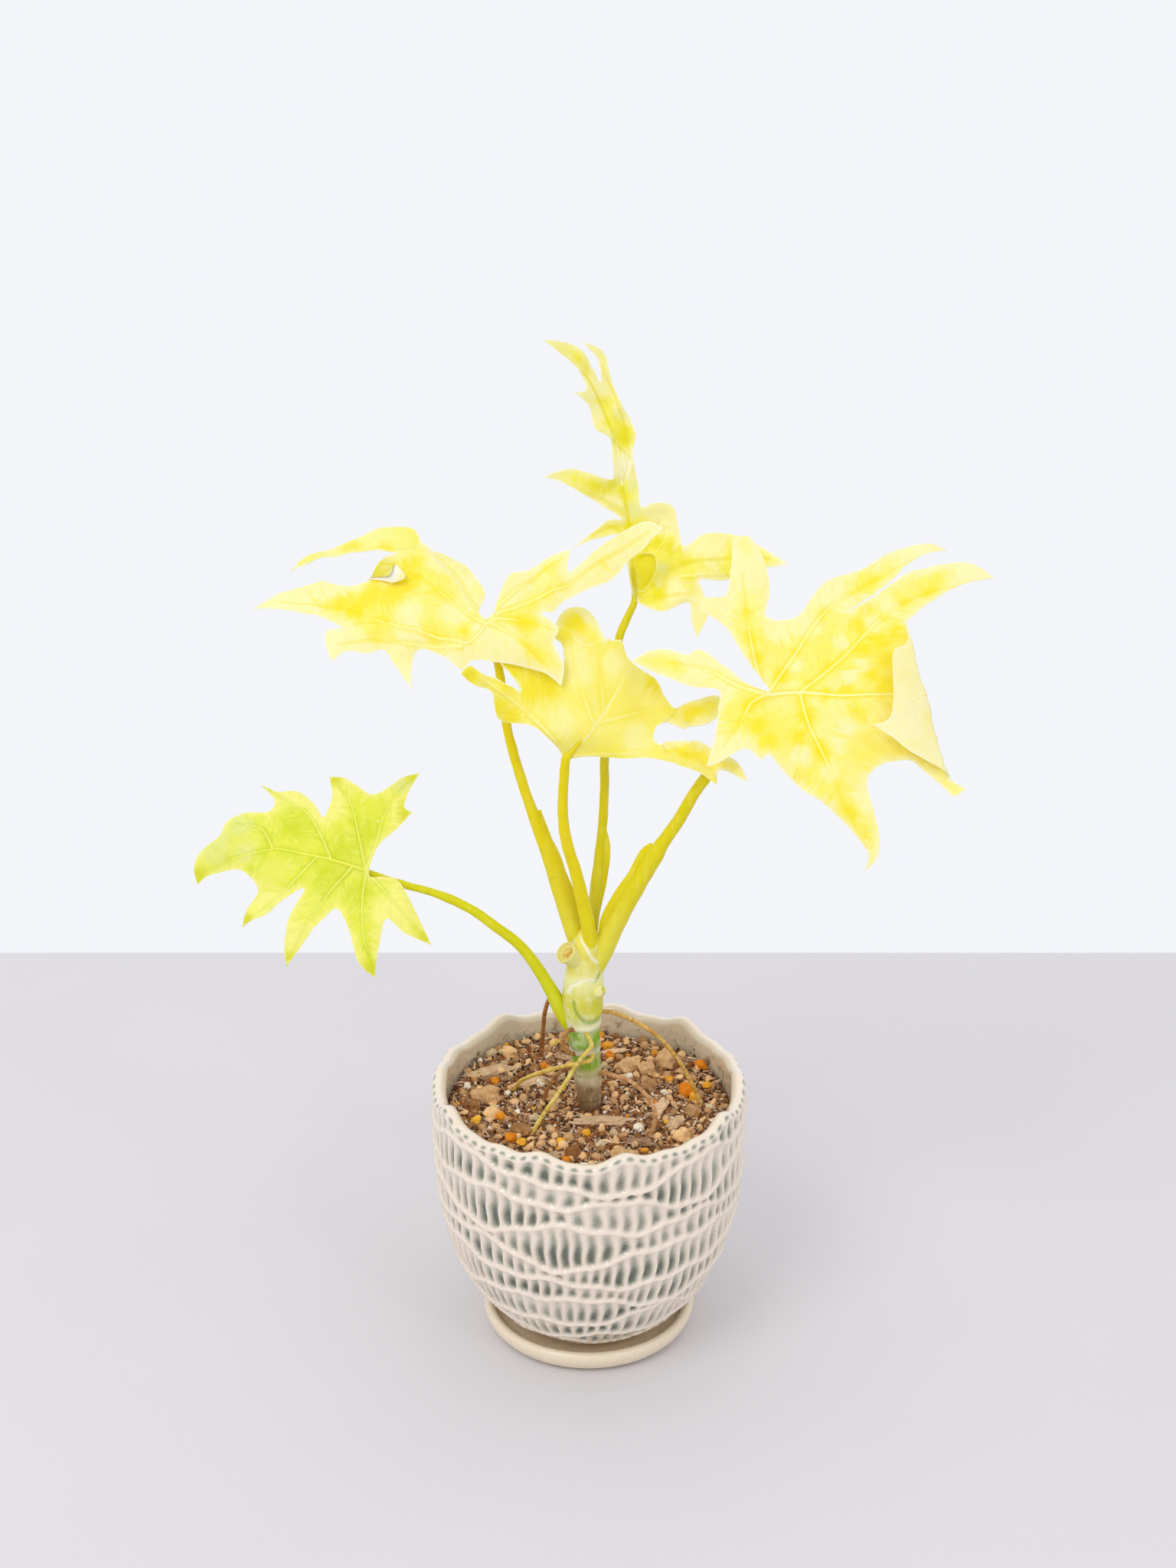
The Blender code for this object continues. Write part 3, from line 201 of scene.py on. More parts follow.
saucer_points = []
for row, (radius, height) in enumerate(SAUCER_PROFILE):
    for column in range(SAUCER_COLUMNS):
        angle = 2 * math.pi * column / SAUCER_COLUMNS
        wobble = 0.1 * math.sin(2 * angle + 0.7) + 0.06 * math.sin(5 * angle)
        saucer_points.append(((radius + wobble) * math.cos(angle),
                              (radius + wobble) * math.sin(angle), height))
saucer_faces = ring_faces(len(SAUCER_PROFILE), SAUCER_COLUMNS)
saucer_faces.append(tuple(reversed(range(SAUCER_COLUMNS))))
last_ring = len(saucer_points) - SAUCER_COLUMNS
saucer_faces += [(last_ring + column, last_ring + (column + 1) % SAUCER_COLUMNS, len(saucer_points))
                 for column in range(SAUCER_COLUMNS)]
saucer_points.append((0.0, 0.0, SAUCER_PROFILE[-1][1]))
saucer = add_piece("saucer_dish", saucer_points, saucer_faces, make_saucer_coat())
hand_over(saucer, "saucer")


# The pot: turned stoneware, its wall gouged by hand in bands of short upright flutes between
# wandering ridges. The glaze is cream on the ridges and has run grey-green into the flutes.
FOOT_HEIGHT, RIM_HEIGHT = 4.0, 103.0
FOOT_RADIUS, RIM_RADIUS = 23.5, 57.5
WALL = 5.5
FLOOR_TOP = 10.0
DRAIN_RADIUS = 6.0
POT_COLUMNS = 600
POT_ROW = 0.78
FLUTE_DEPTH = 2.0
CORD_RISE = 0.6
BAND_RIDGES = (7.0, 13.5, 21.0, 30.0, 40.0, 51.0, 62.0, 73.0, 84.0, 94.0)
BAND_FLUTES = (50, 58, 66, 72, 74, 72, 69, 66, 64, 63)
INNER_HEIGHTS = (99.0, 88.0, 72.0, 54.0, 36.0, 22.0, FLOOR_TOP)
RIDGE_CREAM = (240, 225, 206)
FLUTE_PALE = (218, 208, 190)
FLUTE_GREEN = (166, 164, 146)
FLUTE_DARK = (98, 104, 92)
RIM_INSIDE = (214, 200, 174)
SOIL_STAIN = (120, 84, 54)


def pot_radius(height):
    """The egg-shaped outer wall: nearly upright at the rim, round at the foot."""
    share = np.clip((height - FOOT_HEIGHT) / (RIM_HEIGHT - FOOT_HEIGHT), 0.0, 1.0)
    return FOOT_RADIUS + (RIM_RADIUS - FOOT_RADIUS) * (1 - (1 - share) ** 3.66) ** 0.8


def pot_inner_radius(height):
    """The inner wall follows the outer one, straight between its turned heights."""
    knots = sorted(INNER_HEIGHTS)
    radii = [float(pot_radius(knot)) - WALL - (4.0 if knot == FLOOR_TOP else 0.0) for knot in knots]
    return float(np.interp(height, knots, radii))


def rim_lift(angle):
    """The hand-pinched rim rises and dips."""
    return (1.2 * np.sin(9 * angle + 0.4) + 0.8 * np.sin(14 * angle + 2.0)
            + 0.5 * np.sin(23 * angle + 1.1))


def ridge_height(band, angle):
    """Height of a band's lower ridge, which wanders and now and then meets its neighbour."""
    sway = min(3.6, 0.15 * BAND_RIDGES[band] + 0.3)
    wave = (np.sin(3 * angle + 1.7 * band) + 0.6 * np.sin(7 * angle + 2.9 * band)
            + 0.6 * np.sin(5 * angle + 4.1 * band + 0.8) + 0.25 * np.sin(19 * angle + 2.3 * band))
    return BAND_RIDGES[band] + sway * wave * 0.72


def ease(value, low, high):
    share = np.clip((value - low) / (high - low), 0.0, 1.0)
    return share * share * (3 - 2 * share)


def carve(angle, height):
    """How deep the wall is gouged at a place, and how much glaze has pooled there, 0 to 1.

    A ridge between two bands stands out as a thin cord, which counts as a negative depth.
    """
    depth = np.zeros_like(angle)
    pool = np.zeros_like(angle)
    for band, flutes in enumerate(BAND_FLUTES):
        low = ridge_height(band, angle)
        if band + 1 < len(BAND_RIDGES):
            high = ridge_height(band + 1, angle)
        else:
            high = RIM_HEIGHT - 1.5 + rim_lift(angle)
        drift = 0.22 * np.sin(4 * angle + 1.3 * band) + 0.12 * np.sin(11 * angle + 2.1 * band)
        turn = angle * flutes / (2 * math.pi) + drift + 0.37 * band
        phase = (turn + 0.05 * np.sin(0.6 * height + 3 * angle)) % 1.0
        rib = np.abs(2 * phase - 1)
        vary = 0.5 + 0.5 * np.sin(np.floor(turn) * 12.9898 + band * 78.233)
        room = high - low
        above, below = height - low, high - height
        valley = (0.5 + 0.5 * np.cos(math.pi * rib)) ** 0.75
        arch = 1.1 * rib ** 2
        lower_end = ease(above - arch * 0.6, 0.35, 1.7)
        upper_end = ease(below - arch, 0.25, 1.1 + 0.12 * room)
        share = above / np.maximum(room, 0.5)
        slope = 1 - 0.45 * ease(share, 0.15, 0.95)
        inside = (above > 0) & (below > 0)
        fade = ease(room, 1.2, 3.4)
        cut = valley * lower_end * upper_end * slope * fade * (0.8 + 0.3 * vary)
        depth = np.where(inside, np.maximum(depth, cut), depth)
        well = valley ** 1.2 * lower_end * upper_end * (0.42 + 0.7 * np.exp(-((share - 0.3) / 0.3) ** 2))
        pool = np.where(inside, np.maximum(pool, well * fade * (0.65 + 0.45 * vary)), pool)
        scallop = 0.35 * (1 - rib ** 2)
        cord = np.exp(-((height - low + scallop) / 0.62) ** 2) * ease(room, 0.4, 1.4)
        depth = np.where(depth < 0.25, depth - cord * CORD_RISE / FLUTE_DEPTH, depth)
    return depth, np.clip(pool, 0.0, 1.0)


def make_pot_coat():
    coat, tree, shader = new_coat("pot_carved_glaze")
    where = place_of(tree)
    pool = reading(tree, "pool")
    mottle = clouds(tree, where, 7.0)
    grain = clouds(tree, where, 0.9, 3.0)
    uneven = sums(tree, "ADD", pool, sums(tree, "MULTIPLY", sums(tree, "SUBTRACT", grain, 0.5), 0.34))
    uneven = sums(tree, "ADD", uneven, sums(tree, "MULTIPLY", sums(tree, "SUBTRACT", mottle, 0.5), 0.3))
    colour = tint(tree, spread(tree, uneven, 0.05, 0.3), RIDGE_CREAM, FLUTE_PALE)
    colour = tint(tree, spread(tree, uneven, 0.26, 0.66), colour, FLUTE_GREEN)
    colour = tint(tree, spread(tree, uneven, 0.6, 1.05), colour, FLUTE_DARK)
    inner = reading(tree, "inner")
    soil_mark = spread(tree, clouds(tree, where, 4.0, 6.0, 0.7), 0.5, 0.66)
    height = add(tree, "ShaderNodeSeparateXYZ", {0: where}).outputs[2]
    soil_mark = sums(tree, "MULTIPLY", soil_mark, spread(tree, height, 0.1015, 0.0945))
    colour = tint(tree, inner, colour, RIM_INSIDE)
    colour = tint(tree, sums(tree, "MULTIPLY", soil_mark, inner), colour, SOIL_STAIN)
    settle(tree, shader, colour, spread(tree, mottle, 0.2, 0.8, 0.2, 0.36))
    shader.inputs["Coat Weight"].default_value = 0.7
    shader.inputs["Coat Roughness"].default_value = 0.05
    emboss(tree, shader, grain, 0.12, 0.3)
    return coat


def make_pot():
    """The outer wall as a fine grid, the rim, the inner wall and the base with its drain hole."""
    angles = np.linspace(0, 2 * math.pi, POT_COLUMNS, endpoint=False)
    crest = RIM_HEIGHT - 0.2 + rim_lift(angles)
    shoulder = RIM_HEIGHT - 2.2 + rim_lift(angles)
    rows = int((RIM_HEIGHT - 2.2 - FOOT_HEIGHT) / POT_ROW)
    rings, pools = [], []
    for row in range(rows + 1):
        height = FOOT_HEIGHT + (shoulder - FOOT_HEIGHT) * row / rows
        depth, pool = carve(angles, height)
        radius = pot_radius(height) - FLUTE_DEPTH * depth
        rings.append(np.column_stack([radius * np.cos(angles), radius * np.sin(angles), height]))
        pools.append(pool)
    notch = 1 - np.abs(2 * ((angles * 78 / (2 * math.pi) + 0.2 * np.sin(6 * angles)) % 1.0) - 1) ** 2
    lip = (
        (RIM_RADIUS - 0.1, -1.5, 0.35), (RIM_RADIUS - 0.4, -0.8, 0.9), (RIM_RADIUS - 0.9, -0.3, 0.5),
        (RIM_RADIUS - 1.6, 0.0, 0.0), (RIM_RADIUS - 2.9, 0.15, 0.0), (RIM_RADIUS - 4.2, -0.1, 0.0),
        (RIM_RADIUS - 5.0, -0.8, 0.0), (RIM_RADIUS - 5.4, -2.0, 0.0),
    )
    for radius, rise, dash in lip:
        inward = radius - dash * 0.5 * notch
        height = crest + rise
        rings.append(np.column_stack([inward * np.cos(angles), inward * np.sin(angles), height]))
        pools.append(dash * notch ** 2)
    outer_rings = len(rings)
    for height in INNER_HEIGHTS[1:]:
        radius = pot_inner_radius(height) + np.zeros_like(angles)
        rings.append(np.column_stack([radius * np.cos(angles), radius * np.sin(angles),
                                      np.full_like(angles, height)]))
    for radius, height in ((DRAIN_RADIUS, FLOOR_TOP), (DRAIN_RADIUS, FOOT_HEIGHT),
                           (FOOT_RADIUS * 0.8, FOOT_HEIGHT)):
        rings.append(np.column_stack([radius * np.cos(angles), radius * np.sin(angles),
                                      np.full_like(angles, height)]))
    while len(pools) < len(rings):
        pools.append(np.zeros_like(angles))
    faces = ring_faces(len(rings), POT_COLUMNS)
    last = (len(rings) - 1) * POT_COLUMNS
    for column in range(POT_COLUMNS):
        after = (column + 1) % POT_COLUMNS
        faces.append((last + column, last + after, after, column))
    inner = np.zeros(len(rings) * POT_COLUMNS)
    inner[(outer_rings - 3) * POT_COLUMNS:] = 1.0
    return add_piece("carved_pot", np.concatenate(rings), faces, make_pot_coat(),
                     {"pool": np.concatenate(pools), "inner": inner})


pot = make_pot()
hand_over(pot, "pot")


# The potting mix: dark fibrous loam with bark chips, tan clay lumps, pumice, white perlite and
# round orange fertiliser grains. It fills the pot to 9 mm under the rim and holds the plant.
SOIL_HEIGHT = 94.0
SOIL_EDGE_HEIGHT = 92.0
SOIL_GAP = 0.4
SOIL_COLUMNS = 180
SOIL_RINGS = 64
BARK_CHIPS = (
    (-37.0, 21.0, (21.0, 5.6, 2.4), 0.33), (-34.0, 16.0, (13.0, 3.4, 1.8), 0.2),
    (5.0, -16.0, (22.0, 4.6, 2.2), 0.08), (-22.0, 13.0, (14.0, 4.6, 2.6), 0.5),
    (34.0, 29.0, (11.0, 3.6, 2.4), 2.5), (26.0, -7.0, (12.0, 4.4, 2.4), 1.2),
    (-8.0, 30.0, (12.0, 3.4, 2.0), 2.9), (18.0, -28.0, (12.0, 3.6, 2.0), 2.6),
    (-12.0, -38.0, (11.0, 3.4, 2.0), 0.4), (10.0, 36.0, (10.0, 3.0, 2.0), 0.2),
    (31.0, -16.0, (8.0, 5.0, 2.6), 0.7), (-3.0, 20.0, (10.0, 4.0, 2.2), 1.0),
)
CLAY_LUMPS = (
    (15.0, 22.0, (9.5, 7.5, 7.0), 0.2), (29.0, 26.0, (8.0, 7.5, 8.0), 0.9),
    (-38.0, 3.0, (12.0, 7.5, 7.0), 2.9), (-35.0, -9.0, (7.5, 6.0, 5.0), 0.6),
    (22.0, 19.0, (8.0, 6.5, 6.5), 1.4), (-24.0, -22.0, (8.5, 6.5, 5.0), 2.2),
    (12.0, -37.0, (9.0, 6.5, 4.5), 0.2), (33.0, -25.0, (7.5, 5.5, 5.0), 0.3),
    (-42.0, -4.0, (6.0, 5.0, 5.0), 1.8), (-14.0, 2.0, (7.0, 5.5, 4.5), 2.0),
    (22.0, 8.0, (7.0, 5.5, 5.0), 0.6), (-6.0, -36.0, (6.5, 5.0, 4.5), 1.1),
    (38.0, -8.0, (6.5, 5.0, 4.5), 2.1), (-30.0, 32.0, (6.5, 5.0, 4.5), 0.4),
)
GRAINS = (
    (4.0, 49.0, 3.6), (7.0, 40.0, 4.4), (8.0, 32.0, 4.0), (25.0, 34.0, 3.2), (42.0, 24.0, 4.8),
    (44.0, 11.0, 3.4), (36.0, 6.0, 6.0), (39.0, 2.0, 4.4), (-35.0, 14.0, 3.6), (-32.0, -11.0, 4.2),
    (-28.0, -27.0, 4.6), (-24.0, -30.0, 3.6), (-1.0, -23.0, 3.2), (-10.0, -29.0, 3.4),
    (-41.0, -14.0, 3.8), (20.0, -34.0, 3.2), (-8.0, -41.0, 3.6), (30.0, 14.0, 3.0),
    (16.0, -44.0, 3.2), (-17.0, 24.0, 3.0),
)
PERLITE = (
    (-37.0, 32.0, 4.4), (-18.0, 12.0, 3.6), (18.0, -20.0, 4.0), (15.0, 15.0, 3.4),
    (-11.0, 16.0, 4.2), (-20.0, -12.0, 3.8), (4.0, -30.0, 3.6), (26.0, -38.0, 3.4),
    (-30.0, 6.0, 3.0), (6.0, 24.0, 3.2), (28.0, 4.0, 3.2), (-14.0, -20.0, 3.4),
    (9.0, -23.0, 3.0), (-2.0, -44.0, 3.2), (44.0, -4.0, 3.0), (-45.0, 10.0, 3.2),
)


def soil_top(x, y):
    """Gentle mounds, a little higher round the stem."""
    mound = 1.2 * math.sin(x / 13.0 + 0.6) * math.cos(y / 15.0)
    return SOIL_HEIGHT + mound + 1.2 * math.exp(-(x * x + y * y) / 300.0)


def make_mix_coat(name, dark, pale, grain, rough=0.92, bump=0.8):
    """A dry, broken surface whose bits differ in tone, with painted shade darkening small pits."""
    coat, tree, shader = new_coat(name)
    where = place_of(tree)
    each = reading(tree, "bit")
    fine = clouds(tree, where, grain, 6.0, 0.65)
    shade = sums(tree, "ADD", sums(tree, "MULTIPLY", each, 0.6), sums(tree, "MULTIPLY", fine, 0.55))
    colour = tint(tree, spread(tree, shade, 0.2, 0.95), dark, pale)
    # Painted shade: small patches multiplied towards the dark colour, as shade in pits.
    pit_shade = spread(tree, clouds(tree, where, grain * 0.45, 4.0), 0.58, 0.7)
    colour = tint(tree, sums(tree, "MULTIPLY", pit_shade, 0.45), colour, dark, "MULTIPLY")
    settle(tree, shader, colour, spread(tree, fine, 0.2, 0.8, rough - 0.1, rough))
    shader.inputs["Specular IOR Level"].default_value = 0.25
    emboss(tree, shader, fine, bump, 0.5)
    return coat


loam_coat = make_mix_coat("loam", (50, 22, 6), (186, 124, 72), 2.2)
shred_coat = make_mix_coat("bark_shreds", (112, 76, 48), (240, 214, 180), 2.4)
bark_coat = make_mix_coat("bark_chips", (124, 86, 56), (236, 202, 160), 3.0)
clay_coat = make_mix_coat("tan_clay", (134, 82, 36), (250, 206, 148), 2.6, 0.92, 1.0)
pumice_coat = make_mix_coat("perlite", (206, 182, 140), (255, 248, 230), 1.8)
grain_coat = make_mix_coat("fertiliser_grains", (216, 120, 2), (255, 200, 60), 1.4, 0.7, 0.5)


def make_soil_body():
    """The fill of the pot, with a rough, fibrous top."""
    heights = [FLOOR_TOP + 0.3, *sorted(INNER_HEIGHTS)[1:-1], SOIL_EDGE_HEIGHT]
    points = []
    for height in heights:
        radius = pot_inner_radius(height) - SOIL_GAP
        points += [(radius * math.cos(2 * math.pi * column / SOIL_COLUMNS),
                    radius * math.sin(2 * math.pi * column / SOIL_COLUMNS), height)
                   for column in range(SOIL_COLUMNS)]
    reach = pot_inner_radius(SOIL_EDGE_HEIGHT) - SOIL_GAP
    for ring in range(1, SOIL_RINGS):
        radius = reach * (1 - ring / SOIL_RINGS)
        blend = min(1.0, (reach - radius) / 2.5)
        for column in range(SOIL_COLUMNS):
            angle = 2 * math.pi * column / SOIL_COLUMNS
            x, y = radius * math.cos(angle), radius * math.sin(angle)
            rough = 0.9 * noise.noise((x / 3.1, y / 3.1, 0.3)) + 0.6 * noise.noise((x / 1.3, y / 1.3, 4.0))
            top = soil_top(x, y) - 0.4 + rough
            points.append((x, y, SOIL_EDGE_HEIGHT + (top - SOIL_EDGE_HEIGHT) * blend))
    rows = len(heights) + SOIL_RINGS - 1
    faces = ring_faces(rows, SOIL_COLUMNS)
    faces.append(tuple(reversed(range(SOIL_COLUMNS))))
    last = len(points) - SOIL_COLUMNS
    faces += [(last + column, last + (column + 1) % SOIL_COLUMNS, len(points))
              for column in range(SOIL_COLUMNS)]
    points.append((0.0, 0.0, soil_top(0.0, 0.0)))
    return add_piece("potting_mix", points, faces, loam_coat,
                     {"bit": [0.5 + 0.9 * noise.noise(Vector(point) / 2.0) for point in points]})


soil = make_soil_body()
hand_over(soil, "soil")


def rough_bits(name, spots, coat, seed, knock, fineness=3):
    """Stones or chips as knocked-about balls: (x, y, (length, width, height), heading)."""
    draw = random.Random(seed)
    ball = bmesh.new()
    bmesh.ops.create_icosphere(ball, subdivisions=fineness, radius=0.5)
    unit = [corner.co.copy() for corner in ball.verts]
    unit_faces = [tuple(corner.index for corner in face.verts) for face in ball.faces]
    ball.free()
    points, faces, bits = [], [], []
    for x, y, size, heading in spots:
        start = len(points)
        shift = Vector((draw.uniform(0, 50), draw.uniform(0, 50), draw.uniform(0, 50)))
        tilt = draw.uniform(-0.18, 0.18)
        bit = draw.random()
        lift = soil_top(x, y) + 0.16 * size[2]
        for corner in unit:
            swell = 1 + knock * noise.noise(corner * 3.1 + shift) + 0.4 * knock * noise.noise(corner * 9 + shift)
            a, b, c = (corner[axis] * size[axis] * swell for axis in range(3))
            c += a * tilt
            points.append((x + a * math.cos(heading) - b * math.sin(heading),
                           y + a * math.sin(heading) + b * math.cos(heading), lift + c))
            bits.append(bit)
        faces += [tuple(start + index for index in face) for face in unit_faces]
    piece = add_piece(name, points, faces, coat, {"bit": bits}, 50.0)
    hand_over(piece, None)
    return piece


rough_bits("bark_chips", BARK_CHIPS, bark_coat, 3, 0.55)
rough_bits("clay_lumps", CLAY_LUMPS, clay_coat, 5, 0.5)
rough_bits("fertiliser_grains", [(x, y, (size, size * 0.92, size * 0.88), 0.3 * x)
                                 for x, y, size in GRAINS], grain_coat, 7, 0.34)
rough_bits("perlite", [(x, y, (size, size * 0.85, size * 0.8), 0.2 * y)
                       for x, y, size in PERLITE], pumice_coat, 9, 0.5)


def scatter_tree():
    """Geometry Nodes: strew knocked-about bits over a surface, each with a number of its own."""
    tree = bpy.data.node_groups.new("strewn_bits", "GeometryNodeTree")
    inputs = (("Surface", "NodeSocketGeometry"), ("Spacing", "NodeSocketFloat"),
              ("Density", "NodeSocketFloat"), ("Least", "NodeSocketVector"),
              ("Most", "NodeSocketVector"), ("Tilt", "NodeSocketVector"), ("Knock", "NodeSocketFloat"),
              ("Grain", "NodeSocketFloat"), ("Rounds", "NodeSocketInt"), ("Seed", "NodeSocketInt"),
              ("Coat", "NodeSocketMaterial"))
    for name, kind in inputs:
        tree.interface.new_socket(name, in_out="INPUT", socket_type=kind)
    tree.interface.new_socket("Bits", in_out="OUTPUT", socket_type="NodeSocketGeometry")
    given = tree.nodes.new("NodeGroupInput").outputs
    spots = add(tree, "GeometryNodeDistributePointsOnFaces",
                {"Mesh": given["Surface"], "Distance Min": given["Spacing"],
                 "Density Max": given["Density"], "Seed": given["Seed"]}, distribute_method="POISSON")
    ball = add(tree, "GeometryNodeMeshIcoSphere", {"Radius": 0.5, "Subdivisions": given["Rounds"]})
    size = add(tree, "FunctionNodeRandomValue", {0: given["Least"], 1: given["Most"],
                                                 "Seed": given["Seed"]}, data_type="FLOAT_VECTOR")
    most_turn = add(tree, "ShaderNodeVectorMath", {0: given["Tilt"], 1: (-1.0, -1.0, -1.0)},
                    operation="MULTIPLY")
    turn = add(tree, "FunctionNodeRandomValue", {0: most_turn.outputs[0], 1: given["Tilt"],
                                                 "Seed": given["Seed"]}, data_type="FLOAT_VECTOR")
    strewn = add(tree, "GeometryNodeInstanceOnPoints",
                 {"Points": spots.outputs["Points"], "Instance": ball.outputs["Mesh"],
                  "Rotation": turn.outputs[0], "Scale": size.outputs[0]})
    each = add(tree, "FunctionNodeRandomValue", {"Seed": given["Seed"]}, data_type="FLOAT")
    marked = add(tree, "GeometryNodeStoreNamedAttribute",
                 {"Geometry": strewn.outputs[0], "Name": "bit", "Value": each.outputs[1]},
                 data_type="FLOAT", domain="INSTANCE")
    solid = add(tree, "GeometryNodeRealizeInstances", {"Geometry": marked.outputs[0]})
    place = tree.nodes.new("GeometryNodeInputPosition").outputs[0]
    rough = add(tree, "ShaderNodeTexNoise", {"Vector": place, "Scale": given["Grain"], "Detail": 1.0})
    centred = add(tree, "ShaderNodeVectorMath", {0: rough.outputs["Color"], 1: (0.5, 0.5, 0.5)},
                  operation="SUBTRACT")
    shift = add(tree, "ShaderNodeVectorMath", {0: centred.outputs[0], "Scale": given["Knock"]},
                operation="SCALE")
    moved = add(tree, "GeometryNodeSetPosition", {"Geometry": solid.outputs[0],
                                                  "Offset": shift.outputs[0]})
    coated = add(tree, "GeometryNodeSetMaterial", {"Geometry": moved.outputs[0],
                                                   "Material": given["Coat"]})
    out = tree.nodes.new("NodeGroupOutput")
    tree.links.new(coated.outputs[0], out.inputs[0])
    return tree


def soil_skin(reach, clear):
    """The top of the mix as a plain sheet to strew bits on, open round the stem."""
    points, faces = [], []
    for ring in range(25):
        radius = clear + (reach - clear) * ring / 24
        for column in range(72):
            angle = 2 * math.pi * column / 72
            x, y = radius * math.cos(angle), radius * math.sin(angle) - 5.0 * (1 - ring / 24)
            points.append((x, y, soil_top(x, y) - 0.2))
    for ring in range(24):
        for column in range(72):
            after = (column + 1) % 72
            faces.append((ring * 72 + column, ring * 72 + 72 + column, ring * 72 + 72 + after,
                          ring * 72 + after))
    return points, faces


def bake(piece):
    """Turn a piece's modifiers into its plain mesh."""
    mesh = bpy.data.meshes.new_from_object(
        piece.evaluated_get(bpy.context.evaluated_depsgraph_get()))
    piece.modifiers.clear()
    piece.data = mesh
    mesh.shade_smooth()
    mesh.set_sharp_from_angle(angle=math.radians(45))


strewn = scatter_tree()
STREWN = (
    ("loam_crumbs", loam_coat, 1, 1.35, (1.0, 0.8, 0.6), (2.5, 1.9, 1.4), (3.1, 3.1, 3.1), 1.0, 1.3, 21),
    ("bark_shreds", shred_coat, 1, 1.75, (2.4, 0.5, 0.35), (6.5, 1.3, 0.8), (0.35, 0.5, 3.1), 0.9, 1.8, 22),
    ("clay_crumbs", clay_coat, 2, 4.0, (2.0, 1.7, 1.5), (5.2, 4.4, 3.8), (3.1, 3.1, 3.1), 1.6, 2.0, 23),
    ("pumice_crumbs", pumice_coat, 2, 7.0, (1.0, 0.9, 0.8), (2.8, 2.4, 2.0), (3.1, 3.1, 3.1), 1.0, 1.5, 24),
    ("perlite_dust", pumice_coat, 1, 3.6, (0.4, 0.35, 0.3), (1.2, 1.0, 0.8), (3.1, 3.1, 3.1), 0.3, 1.0, 27),
    ("grain_crumbs", grain_coat, 2, 13.0, (1.4, 1.4, 1.2), (2.6, 2.6, 2.2), (3.1, 3.1, 3.1), 0.6, 1.6, 25),
    ("loam_fibres", shred_coat, 1, 3.2, (4.0, 0.3, 0.3), (10.0, 0.5, 0.5), (0.4, 0.4, 3.1), 1.6, 3.0, 26),
)
for name, coat, rounds, spacing, least, most, tilt, knock, grain, seed in STREWN:
    bits = add_piece(name, *soil_skin(50.0, 6.5), coat)
    step = bits.modifiers.new("strew", "NODES")
    step.node_group = strewn
    sockets = {item.name: item.identifier for item in strewn.interface.items_tree}
    values = {"Spacing": spacing * MM, "Density": 4e6 / spacing ** 2,
              "Least": [value * MM for value in least], "Most": [value * MM for value in most],
              "Tilt": tilt, "Knock": knock * MM, "Grain": 1000.0 / grain, "Rounds": rounds, "Seed": seed, "Coat": coat}
    for key, value in values.items():
        step[sockets[key]] = value
    bake(bits)
    hand_over(bits, None)


# The stem: a short green trunk, swollen at its leaf nodes and ringed by old sheath scars, corky
# and brown where it dips into the mix, with the stubs of two leaf stalks, one cut and one torn.
STEM = (
    (0.7, -6.0, 72.0, 3.2), (0.6, -6.0, 93.0, 3.5), (0.2, -5.6, 100.0, 4.4),
    (-0.3, -5.0, 106.0, 5.0), (-1.4, -4.2, 119.0, 5.4), (-1.9, -3.8, 127.0, 5.8),
    (-2.2, -3.4, 134.0, 7.2), (-2.0, -3.0, 141.0, 7.4), (-1.8, -2.2, 147.0, 6.9),
    (-1.4, -1.4, 155.0, 6.0), (-0.8, -1.6, 160.0, 5.4), (-0.4, -1.8, 164.0, 3.8),
    (-0.2, -2.0, 167.5, 1.4),
)
STEM_SIDES = 72
STEM_STEP = 0.6
STEM_RINGS = (
    (155.1, 0.26), (146.7, 0.34), (136.4, 0.2), (128.4, 0.3), (120.9, 0.3), (118.2, 0.2),
    (110.1, 0.2), (99.0, 0.16),
)
PALE_SEAMS = (
    ((-7.4, 143.5), (-6.2, 146.2), (-4.4, 147.6), (-2.4, 149.0), (0.5, 149.2), (2.3, 148.7)),
    ((-2.6, 164.0), (-0.4, 160.1), (1.5, 156.3), (4.2, 153.6), (5.2, 153.0)),
)
# Painted shade: darker green lines drawn where a sheath edge ends and under the bulge, in the grooves below them.
SHADED_SEAMS = (
    ((2.3, 148.7), (3.5, 149.7), (4.9, 151.6)),
    ((-5.4, 141.0), (-4.9, 138.0), (-3.4, 135.4), (-1.4, 133.1), (1.0, 132.4), (3.5, 132.8), (5.2, 134.6)),
)
SCAR = (0.2, 104.3, 0.95)
CUT_STUB = ((-2.4, -2.6, 152.0, 3.0), (-5.8, -5.0, 156.6, 3.5), (-8.2, -6.6, 159.4, 4.1))
TORN_STUB = ((0.8, -4.4, 142.0, 3.0), (3.6, -7.4, 144.0, 2.4), (5.2, -8.8, 145.5, 1.2))
STEM_BANDS = (
    (92.0, (104, 76, 50)), (99.0, (142, 112, 80)), (104.0, (170, 144, 108)), (109.5, (200, 182, 146)),
    (112.0, (182, 176, 112)), (113.6, (136, 170, 30)), (117.6, (130, 168, 20)),
    (118.6, (200, 196, 168)), (120.6, (190, 188, 156)), (121.8, (120, 166, 14)),
    (127.4, (136, 178, 8)), (128.4, (236, 236, 200)), (132.0, (230, 230, 166)),
    (134.0, (208, 208, 60)), (141.0, (214, 208, 66)), (148.0, (234, 230, 160)),
    (152.0, (224, 214, 88)), (160.0, (234, 222, 90)), (172.0, (238, 220, 50)),
)


def catmull(before, start, end, after, share):
    """A point a share of the way along the smooth curve from start to end."""
    square, cube = share ** 2, share ** 3
    return 0.5 * (
        2 * start + (end - before) * share
        + (2 * before - 5 * start + 4 * end - after) * square
        + (3 * start - before - 3 * end + after) * cube
    )


